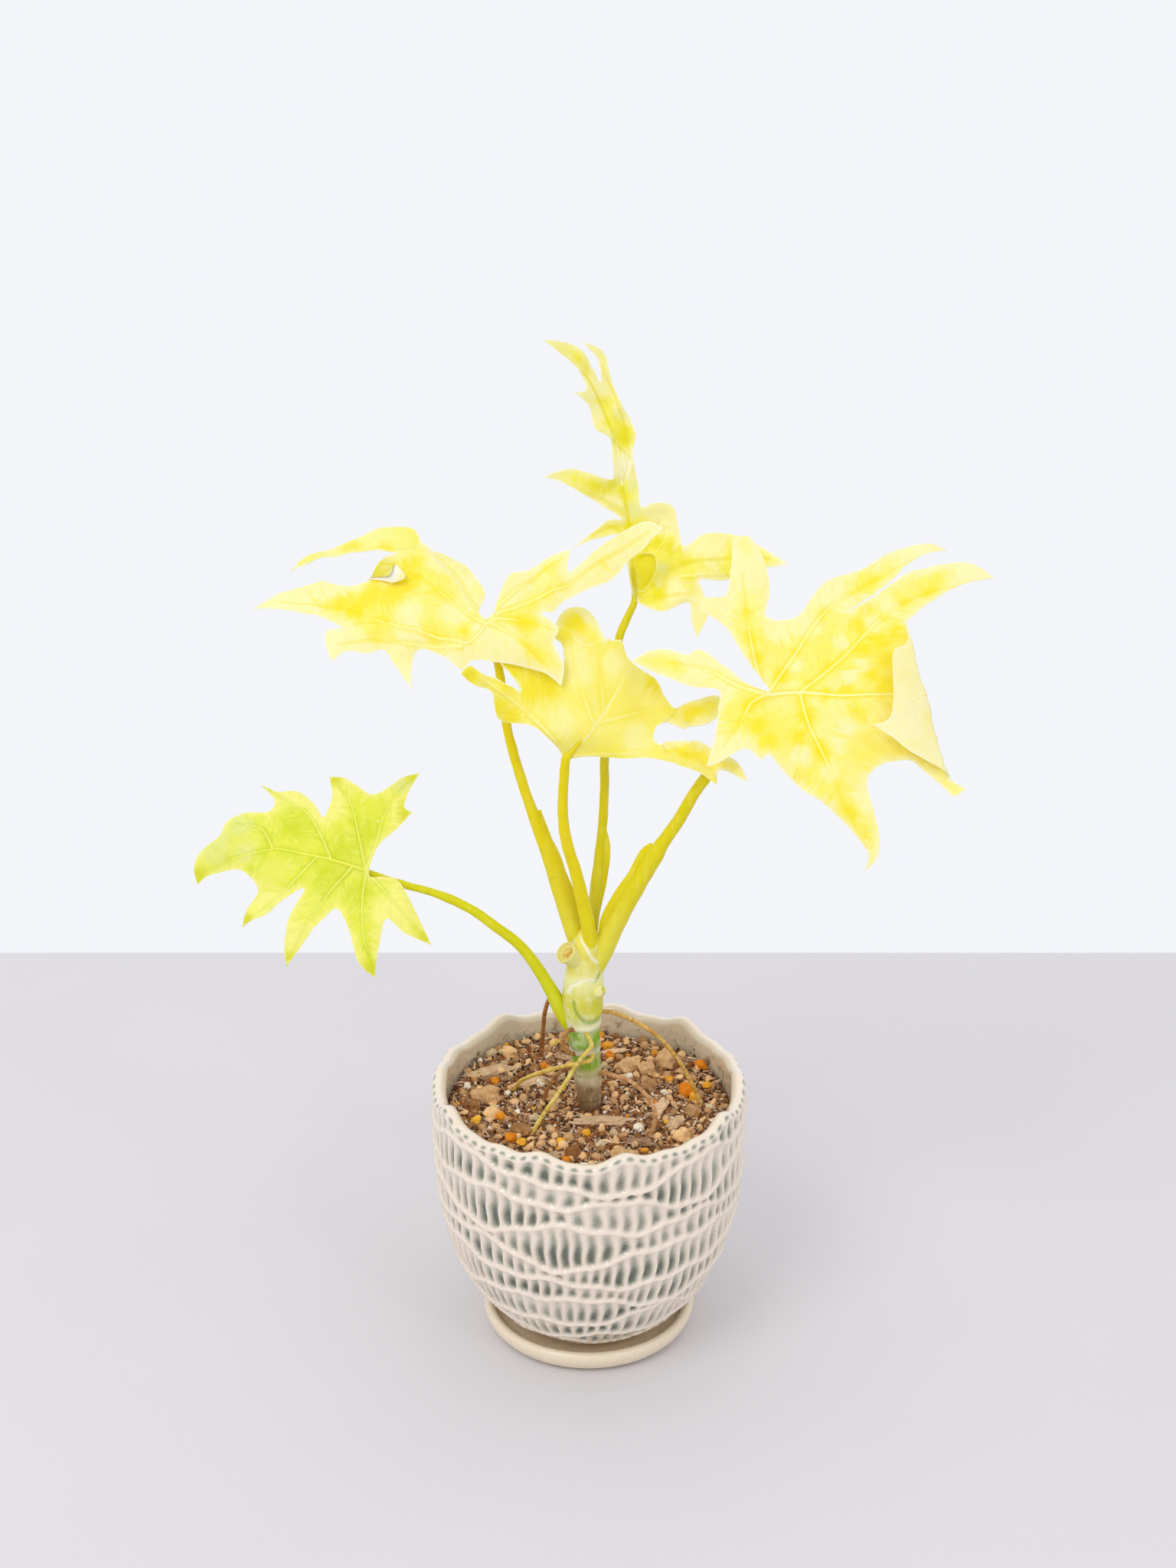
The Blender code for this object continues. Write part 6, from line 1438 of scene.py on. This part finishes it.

# Where a leaf is richer, paler or dustier than its rule says, (u, v, radius), and where one part
# of its sheet laps over another: the area set back, the edge in front, how far back, which face
# shows, and how strong the painted shade is on the set-back part, strongest near the edge.
MARKS = {
    "low_left": dict(
        rich=[(29.7, -11.9, 7), (10.3, -5.3, 7), (3.8, -14.1, 6), (12.5, 6.3, 7), (0.2, 9.0, 6),
              (42.9, 7.5, 4)],
        faded=[(19.1, -20.7, 7), (30.7, 19.4, 7), (32.1, -23.6, 6), (-12.9, 12.8, 7),
               (18.1, 29.3, 6), (-7.1, -24.1, 5)],
        dusted=[(58.0, 0.0, 8), (50.0, -8.0, 6), (46.0, 1.0, 5), (-4.0, -34.0, 5)],
        laps=[],
    ),
    "upper_left": dict(
        rich=[(41.9, -8.3, 7), (34.3, -7.5, 7), (47.2, -2.6, 5), (30.3, -20.9, 5), (30.6, -15.0, 5),
              (43.6, -16.2, 6), (3.7, -2.2, 3), (-2.8, -0.7, 3), (29.9, -11.6, 6), (7.7, 4.1, 3),
              (52.3, -6.6, 6), (-12.0, -0.2, 4), (42.0, -29.0, 4), (54.0, -29.0, 4)],
        # The faded spot at (53, -21) on the folded flap is a painted highlight that whitens its pale underside
        # further.
        faded=[(19.1, -22.0, 7), (10.1, -15.3, 6), (6.8, -10.7, 5), (13.0, -2.8, 6), (27.8, 0.0, 6),
               (68.7, -5.4, 8), (59.5, -12.9, 7), (-6.8, -10.2, 7), (1.8, 3.1, 5), (-6.3, 6.6, 7),
               (8.6, 9.6, 5), (29.2, 11.0, 6), (47.7, 8.2, 6), (27.3, 4.4, 5), (-49.3, -24.6, 12),
               (-30.0, -18.0, 7), (53.0, -21.0, 8)],
        dusted=[(14.0, -22.0, 5), (6.0, -13.0, 4), (21.0, -28.0, 5)],
        laps=[
            dict(line=[(57.5, 2.6), (49.7, 4.1), (44.0, 3.5), (32.8, 2.4), (29.6, 2.4), (23.2, 3.3),
                       (14.4, 4.6), (7.5, 6.4), (4.8, 8.2), (3.6, 9.9)],
                 area=[(60.0, 1.0), (57.5, 2.6), (49.7, 4.1), (44.0, 3.5), (32.8, 2.4), (29.6, 2.4),
                       (23.2, 3.3), (14.4, 4.6), (7.5, 6.4), (4.8, 8.2), (3.6, 9.9), (-4, -12),
                       (8, -24), (40, -26), (62, -16)],
                 back=0.9, turned=0.0, rich=0.35),
            dict(line=[(27.7, -32.4), (21.8, -22.7), (12.3, -13.7), (6.8, -8.0), (2.8, -2.7)],
                 area=[(27.7, -36.0), (27.7, -32.4), (21.8, -22.7), (12.3, -13.7), (6.8, -8.0),
                       (2.8, -2.7), (-2.0, -12.0), (5.0, -28.0)],
                 back=0.6, turned=0.0, rich=0.1),
            dict(line=[(30.7, -37.0), (31.0, -30.9), (34.7, -29.6), (38.0, -28.6)],
                 area=[(30.7, -44.0), (30.7, -37.0), (31.0, -30.9), (34.7, -29.6), (38.0, -28.4),
                       (50.0, -26.4), (66.0, -20.5), (84.0, -18.0), (60.0, -44.0)],
                 back=0.5, turned=0.9, rich=0.3),
        ],
    ),
    "centre": dict(
        rich=[(-11.6, 24.0, 5), (-5.9, 25.4, 6), (-18.6, 29.0, 6), (-22.5, 18.9, 5), (-18.5, 16.8, 4),
              (-32.0, 31.5, 4), (42.2, 13.7, 5), (55.8, 2.7, 6), (41.2, 6.2, 4), (4.4, 41.1, 4),
              (1.0, 38.3, 4), (30.7, 22.7, 4), (0.0, 43.0, 4), (5.0, 37.0, 3)],
        faded=[(4.5, 28.1, 6), (-1.3, 14.5, 6), (3.3, 32.7, 5), (16.0, 30.0, 4), (24.0, 8.0, 6),
               (9.0, 43.0, 3)],
        dusted=[],
        laps=[
            dict(line=[(-2.8, 39.9), (-0.2, 39.3), (3.3, 36.8), (6.8, 34.9), (9.7, 35.0), (13.2, 35.0)],
                 area=[(-4.5, 40.5), (-2.8, 39.9), (-0.2, 39.3), (3.3, 36.8), (6.8, 34.9), (9.7, 35.0),
                       (13.2, 35.0), (17.0, 36.5), (18, 52), (-12, 52)],
                 back=2.6, turned=1.0, rich=0.35),
            dict(line=[(13.1, 15.6), (16.0, 19.6), (19.5, 24.6), (22.4, 27.6), (25.0, 28.0)],
                 area=[(13.1, 15.6), (16.0, 19.6), (19.5, 24.6), (22.4, 27.6), (25.0, 28.0), (24, 38),
                       (4, 34), (9, 18)],
                 back=0.6, turned=0.0, rich=0.12),
            dict(line=[(39.0, 17.0), (38.4, 15.2), (35.7, 13.5), (32.8, 11.9), (32.0, 10.0)],
                 area=[(40.0, 18.5), (39.0, 17.0), (38.4, 15.2), (35.7, 13.5), (32.8, 11.9),
                       (32.0, 10.0), (34, 5), (60, 8), (60, 26), (44, 22)],
                 back=1.4, turned=1.0, rich=0.3),
            dict(line=[(29.8, 6.8), (32.1, 6.8), (38.9, 4.6), (46.3, 1.8), (52.4, -1.5)],
                 area=[(29.0, 7.2), (29.8, 6.8), (32.1, 6.8), (38.9, 4.6), (46.3, 1.8), (52.4, -1.5),
                       (66, -4), (66, 8), (52, 9), (42, 10), (31, 10)],
                 back=2.0, turned=1.0, rich=0.6),
            dict(line=[(-26.4, 28.6), (-20.7, 24.2), (-12.7, 17.4), (-5.8, 11.6), (0.4, 3.4)],
                 area=[(-26.4, 28.6), (-20.7, 24.2), (-12.7, 17.4), (-5.8, 11.6), (0.4, 3.4), (-8, 2),
                       (-26, 8), (-31, 26)],
                 back=0.6, turned=0.0, rich=0.35),
        ],
    ),
    "right": dict(
        rich=[(32.2, 16.5, 4), (37.5, 19.1, 5), (30.6, 25.7, 4), (32.4, 32.6, 4), (40.3, 12.5, 5),
              (35.0, 6.9, 3.5), (40.2, 3.0, 4), (26.9, 2.8, 3), (-2.9, -11.6, 4), (0.6, -18.0, 4),
              (-5.3, -3.6, 4), (13.1, -8.3, 4), (10.8, -16.0, 4), (26.6, -40.1, 4), (31.1, -46.6, 4),
              (18.2, -20.5, 4), (30.3, -7.3, 4), (5.0, 7.1, 3), (-3.6, 11.8, 3), (9.6, -29.0, 3),
              (45.5, -21.5, 4), (60.5, -34.2, 5), (43.9, 22.9, 4), (20.0, 0.3, 2.5)],
        faded=[(-6.6, 42.1, 7), (-16.5, 31.7, 7), (3.8, 22.0, 5), (14.3, 24.1, 5), (24.7, 19.1, 4),
               (31.6, 10.8, 4), (28.1, 6.5, 4), (21.3, 37.2, 6), (50.9, 54.5, 7), (68.5, 47.5, 7),
               (35.8, 25.9, 3.5), (9.7, 10.9, 4), (-10.5, -18.0, 5), (-13.5, 2.8, 4),
               (-22.3, 11.7, 6), (12.0, -21.9, 4), (21.0, -27.3, 4), (26.9, -11.1, 5),
               (24.0, -17.9, 4), (32.3, -35.3, 4), (41.1, 32.8, 4)],
        dusted=[],
        laps=[],
    ),
    "top": dict(
        rich=[(-18.8, 80.6, 5), (-16.5, 77.2, 4), (-1.7, 55.0, 4), (-4.7, 52.2, 4), (-8.8, 37.2, 4),
              (-5.8, 33.9, 3.5), (-13.0, 40.2, 4), (0.2, 0.8, 5), (8.5, 3.6, 4), (2.1, 7.2, 5),
              (15.9, 14.5, 3), (12.3, 14.9, 3), (8.1, 15.5, 3)],
        faded=[(-12.4, 71.7, 4), (-3.6, 63.6, 4), (-15.3, 62.3, 4), (-8.2, 31.1, 4), (9.2, 24.6, 6),
               (26.0, 14.5, 6), (13.8, 3.9, 4), (20.4, -1.8, 4), (-3.5, 42.9, 5)],
        dusted=[(9.4, 8.4, 2.6), (8.0, 5.6, 2.0), (-1.0, 28.0, 4), (-1.0, 36.0, 3), (2.0, 20.0, 4)],
        laps=[
            dict(line=[(-10.0, 56.2), (-5.9, 50.9), (-2.0, 47.1), (-1.2, 45.2), (-3.2, 38.4),
                       (-5.4, 36.2)],
                 area=[(-12.5, 57.0), (-10.0, 56.2), (-5.9, 50.9), (-2.0, 47.1), (-1.2, 45.2),
                       (-3.2, 38.4), (-5.4, 36.2), (-9.0, 35.6), (-11.0, 44.0)],
                 back=0.8, turned=1.0, rich=0.0),
            dict(line=[(1.5, 13.1), (6.6, 12.3), (7.4, 8.4), (5.0, 4.8), (2.9, 2.5), (0.2, 2.8)],
                 area=[(-5.0, 14.0), (1.5, 13.1), (6.6, 12.3), (7.4, 8.4), (5.0, 4.8), (2.9, 2.5),
                       (0.2, 2.8), (-4.0, 3.4)],
                 back=1.5, turned=0.0, rich=0.7),
            dict(line=[(15.1, 7.3), (19.9, 7.6), (32.0, 6.9), (40.0, 6.9)],
                 area=[(14.0, 7.3), (15.1, 7.3), (19.9, 7.6), (32.0, 6.9), (40.0, 6.9), (40.0, 2.0),
                       (16.0, 2.0)],
                 back=0.7, turned=0.0, rich=0.9),
            dict(line=[(10.8, 22.0), (10.2, 17.0), (6.9, 12.9)],
                 area=[(11.0, 26.0), (10.8, 22.0), (10.2, 17.0), (6.9, 12.9), (0.0, 13.2), (2.0, 26.0)],
                 back=0.6, turned=0.0, rich=0.3),
        ],
    ),
}
RIB_WIDTH = {"low_left": 0.42, "upper_left": 0.42, "centre": 0.6, "right": 0.6, "top": 0.42}
PALE_SHARE = {"low_left": 0.95, "upper_left": 0.6, "centre": 0.5, "right": 0.65, "top": 0.3}
SIDE_SPACING = 5.2


def spots(flat, places):
    """A soft reading that is 1 at the middle of each of some round places."""
    reading_at = np.zeros(len(flat))
    for u, v, radius in places:
        away = np.linalg.norm(flat - np.array([u, v]), axis=1)
        reading_at = np.maximum(reading_at, np.exp(-(away / radius) ** 2))
    return reading_at


def make_blade(name, leaf, marks):
    """A blade of even thickness: the same fine triangles on both faces, quilted by its veins."""
    loop = smooth_loop(leaf["outline"], EDGE_STEP)
    mains = [trace(vein) for vein in leaf["veins"]]
    kept = [point for crease in leaf["folds"] for point in crease_points(crease, loop)]
    rows = []
    for lap in marks["laps"]:
        edge_line = trace(lap["line"], 0.6)
        rows += [beside(edge_line, offset) for offset in (0.0, 0.35, -0.35, 0.8, -0.8)]
    for line in mains:
        rows += [beside(line, offset) for offset in (0.0, 0.4, -0.4, 0.85, -0.85, 1.5, -1.5)]
    near = [point for row in rows for point in row if inside(point, loop, 0.4)]
    kept = thin_out(near, 0.3, kept)
    grid = []
    low, high = loop.min(axis=0), loop.max(axis=0)
    for row, y in enumerate(np.arange(low[1], high[1], 0.87 * INSIDE_STEP)):
        for x in np.arange(low[0] + 0.5 * INSIDE_STEP * (row % 2), high[0], INSIDE_STEP):
            if inside(np.array([x, y]), loop, 0.5):
                grid.append(np.array([x, y]))
    kept = thin_out(grid, 0.7, kept)
    flat = [Vector(point) for point in (*loop, *kept)]
    result = delaunay_2d_cdt(flat, [], [list(range(len(loop)))], 1, 1e-4)
    flat = np.array([tuple(point) for point in result[0]])
    faces = []
    for face in result[2]:
        first, second, third = (flat[index] for index in face)
        one, two = second - first, third - first
        left_turn = one[0] * two[1] > one[1] * two[0]
        faces.append(tuple(face) if left_turn else tuple(reversed(face)))

    apart, along_vein = zip(*[distances(flat, line) for line in mains])
    apart, along_vein = np.array(apart), np.array(along_vein)
    order = np.argsort(apart, axis=0)
    everyone = np.arange(len(flat))
    to_vein, second_best = apart[order[0], everyone], apart[order[1], everyone]
    vein_at, run_at = order[0], along_vein[order[0], everyone]
    lengths = np.array([np.linalg.norm(np.diff(line, axis=0), axis=1).sum() for line in mains])
    spent = np.clip(run_at / lengths[vein_at], 0, 1)
    wander = np.array([noise.noise((x / 9.0, y / 9.0, 3.0)) for x, y in flat])
    flow = run_at - 0.7 * to_vein - 0.015 * to_vein ** 2 + 1.3 * wander + 37.0 * vein_at
    clear = np.clip((second_best - to_vein) / 2.0, 0, 1) * (1 - np.exp(-to_vein / 1.2))
    clear *= 1 - ease(spent, 0.93, 1.0)
    phase = np.abs((flow / SIDE_SPACING) % 1.0 - 0.5) * 2
    side = np.exp(-((1 - phase) * SIDE_SPACING / 2 / 0.55) ** 2)
    to_edge = distances(flat, np.vstack([loop, loop[:1]]))[0]
    tips = np.array([point[:2] for point in leaf["outline"] if TIP in point], float)
    to_tip = np.linalg.norm(flat[:, None, :] - tips[None], axis=2).min(axis=1)
    width = RIB_WIDTH[name] * (1 - 0.55 * spent)
    pale_part = 1 - ease(spent, PALE_SHARE[name] - 0.25, PALE_SHARE[name] + 0.1)
    rib = np.exp(-(to_vein / (0.65 * width)) ** 2) * pale_part
    middle_rib = np.where(vein_at == 0, np.exp(-(to_vein / width) ** 2) * (1 - 0.3 * spent), 0.0)
    # Painted shade on the rib flanks where the sheet dips; thread, the vein's own deeper line past its pale part,
    # joins it.
    groove = np.exp(-((to_vein - 1.6 * width) / (0.8 * width)) ** 2) * (1 - 0.7 * spent)
    thread = np.exp(-(to_vein / (0.6 * width)) ** 2) * (1 - pale_part) * (1 - 0.4 * spent)
    groove = np.maximum(groove, thread)
    # Painted highlight on the outline's own points.
    rim = np.where(to_edge < 1e-6, 1.0, 0.0)
    rich, faded = spots(flat, marks["rich"]), spots(flat, marks["faded"])
    dusted = spots(flat, marks["dusted"])
    turned = np.zeros(len(flat))

    known = [point[:3] for point in leaf["outline"]]
    known += [point for vein in leaf["veins"] for point in vein]
    lift = height_field(known)(flat)
    soft_edge = 1 - np.exp(-to_edge / 2.0)
    lift += 0.3 * (1 - side) * clear * soft_edge
    lift -= 0.28 * np.exp(-to_vein / 2.2) * soft_edge
    lift += 0.35 * np.exp(-(to_vein / width) ** 2) * (1 - spent)
    swell = np.array([noise.noise((x / 13.0, y / 13.0, 7.0)) for x, y in flat])
    ruffle = np.array([noise.noise((x / 7.0, y / 7.0, 1.7)) for x, y in flat])
    lift += 0.7 * swell * soft_edge + 1.0 * ruffle * np.exp(-to_edge / 3.0)
    for lap in marks["laps"]:
        edge_line = trace(lap["line"], 0.6)
        area = np.array(lap["area"], float)
        to_line = distances(flat, edge_line)[0]
        to_end = np.minimum(np.linalg.norm(flat - edge_line[0], axis=1),
                            np.linalg.norm(flat - edge_line[-1], axis=1))
        within = np.array([inside(point, area) for point in flat])
        step = within * ease(to_line, 0.0, 0.8)
        lift -= lap["back"] * step * np.exp(-to_line / 14.0) * ease(to_end, 0.0, 2.5)
        turned = np.maximum(turned, lap["turned"] * (step > 0.3))
        # Painted shade from the lapping edge: the set-back part turns deeper yellow, most near the line.
        rich = np.maximum(rich, lap["rich"] * step * (0.5 + np.exp(-to_line / 3.0)))
        # Painted highlight along the lapping edge, on the front sheet's side.
        rim = np.maximum(rim, ~within * np.exp(-(to_line / 0.3) ** 2) * 0.9)
    sheet = np.column_stack([flat, lift])
    for crease in leaf["folds"]:
        fold(sheet, crease)

    along = np.array(leaf["along"]) / np.linalg.norm(leaf["along"])
    face_way = np.array(leaf["face"]) / np.linalg.norm(leaf["face"])
    along -= face_way * (along @ face_way)
    along /= np.linalg.norm(along)
    across = np.cross(face_way, along)
    middle = np.array(leaf["place"]) + sheet @ np.array([along, across, face_way])
    corners = np.array(faces)
    first, second, third = (middle[corners[:, index]] for index in range(3))
    tilts = np.cross(second - first, third - first)
    normals = np.zeros_like(middle)
    for index in range(3):
        np.add.at(normals, corners[:, index], tilts)
    normals /= np.linalg.norm(normals, axis=1)[:, None]
    half = (BLADE_THICKNESS / 2) * (0.6 + 0.4 * soft_edge)[:, None]
    points = [*(middle + normals * half), *(middle - normals * half)]
    count = len(middle)
    borders = {pair for face in faces for pair in zip(face, (*face[1:], face[0]))}
    solid = list(faces)
    solid += [tuple(index + count for index in reversed(face)) for face in faces]
    for start, end in sorted(borders):
        if (end, start) not in borders:
            solid.append((start + count, end + count, end, start))
    if name == "centre":
        turned = 1 - turned
    readings = dict(
        midrib=middle_rib, rib=rib, groove=groove, side=side, clear=clear, flow=flow, reach=to_vein,
        rich=rich, faded=faded, dusted=dusted, rim=rim, edge=np.exp(-to_edge / 3.2), flush=np.exp(-to_vein / 4.0),
        tip=np.exp(-(to_tip / 7.0) ** 2),
    )
    readings = {key: np.tile(values, 2) for key, values in readings.items()}
    readings["under"] = np.concatenate([turned, 1 - turned])
    return add_piece("blade_" + name + "_sheet", points, solid, make_leaf_coat(name, LOOKS[name]),
                     readings, 60.0)


for name, leaf in LEAVES.items():
    blade = make_blade(name, leaf, MARKS[name])
    hand_over(blade, "blade_" + name)


# The stage: a plain pale floor under soft studio light from the front upper left, and the camera
# at the photo's angle, 24 degrees down.
FLOOR_CORNERS = ((-2000.0, -1200.0, 0.0), (2000.0, -1200.0, 0.0), (2000.0, 290.0, 0.0), (-2000.0, 290.0, 0.0))

floor_coat, tree, shader = new_coat("studio_floor")
floor_mottle = clouds(tree, place_of(tree), 160.0, 3.0)
settle(tree, shader, tint(tree, floor_mottle, (222, 219, 221), (217, 214, 216)),
       spread(tree, floor_mottle, 0.2, 0.8, 0.6, 0.7))
shader.inputs["Specular IOR Level"].default_value = 0.2
floor = add_piece("studio_floor", FLOOR_CORNERS, [(0, 1, 2, 3)], floor_coat)

scene = bpy.context.scene
world = bpy.data.worlds.new("studio_air")
world.use_nodes = True
world.node_tree.nodes["Background"].inputs["Color"].default_value = (0.905, 0.915, 0.955, 1.0)
world.node_tree.nodes["Background"].inputs["Strength"].default_value = 1.0
scene.world = world
scene.view_settings.view_transform = "Standard"

for name, place, size, watts in (("window", (-0.9, -1.3, 1.9), 1.0, 12.0),
                                 ("glint", (0.75, -1.1, 1.3), 0.14, 1.2)):
    lamp = bpy.data.lights.new(name, "AREA")
    lamp.energy = watts
    lamp.size = size
    lamp_object = bpy.data.objects.new(name, lamp)
    lamp_object.location = place
    lamp_object.rotation_euler = (Vector((0.0, 0.0, 0.15)) - Vector(place)).to_track_quat("-Z", "Y").to_euler()
    bpy.context.collection.objects.link(lamp_object)

camera = bpy.data.cameras.new("camera")
camera.lens = 58.0
camera.sensor_width = 36.0
camera_object = bpy.data.objects.new("camera", camera)
camera_object.location = (-0.0003, -0.7982, 0.584)
camera_object.rotation_euler = (math.radians(65.6), 0.0, 0.0)
bpy.context.collection.objects.link(camera_object)
scene.camera = camera_object
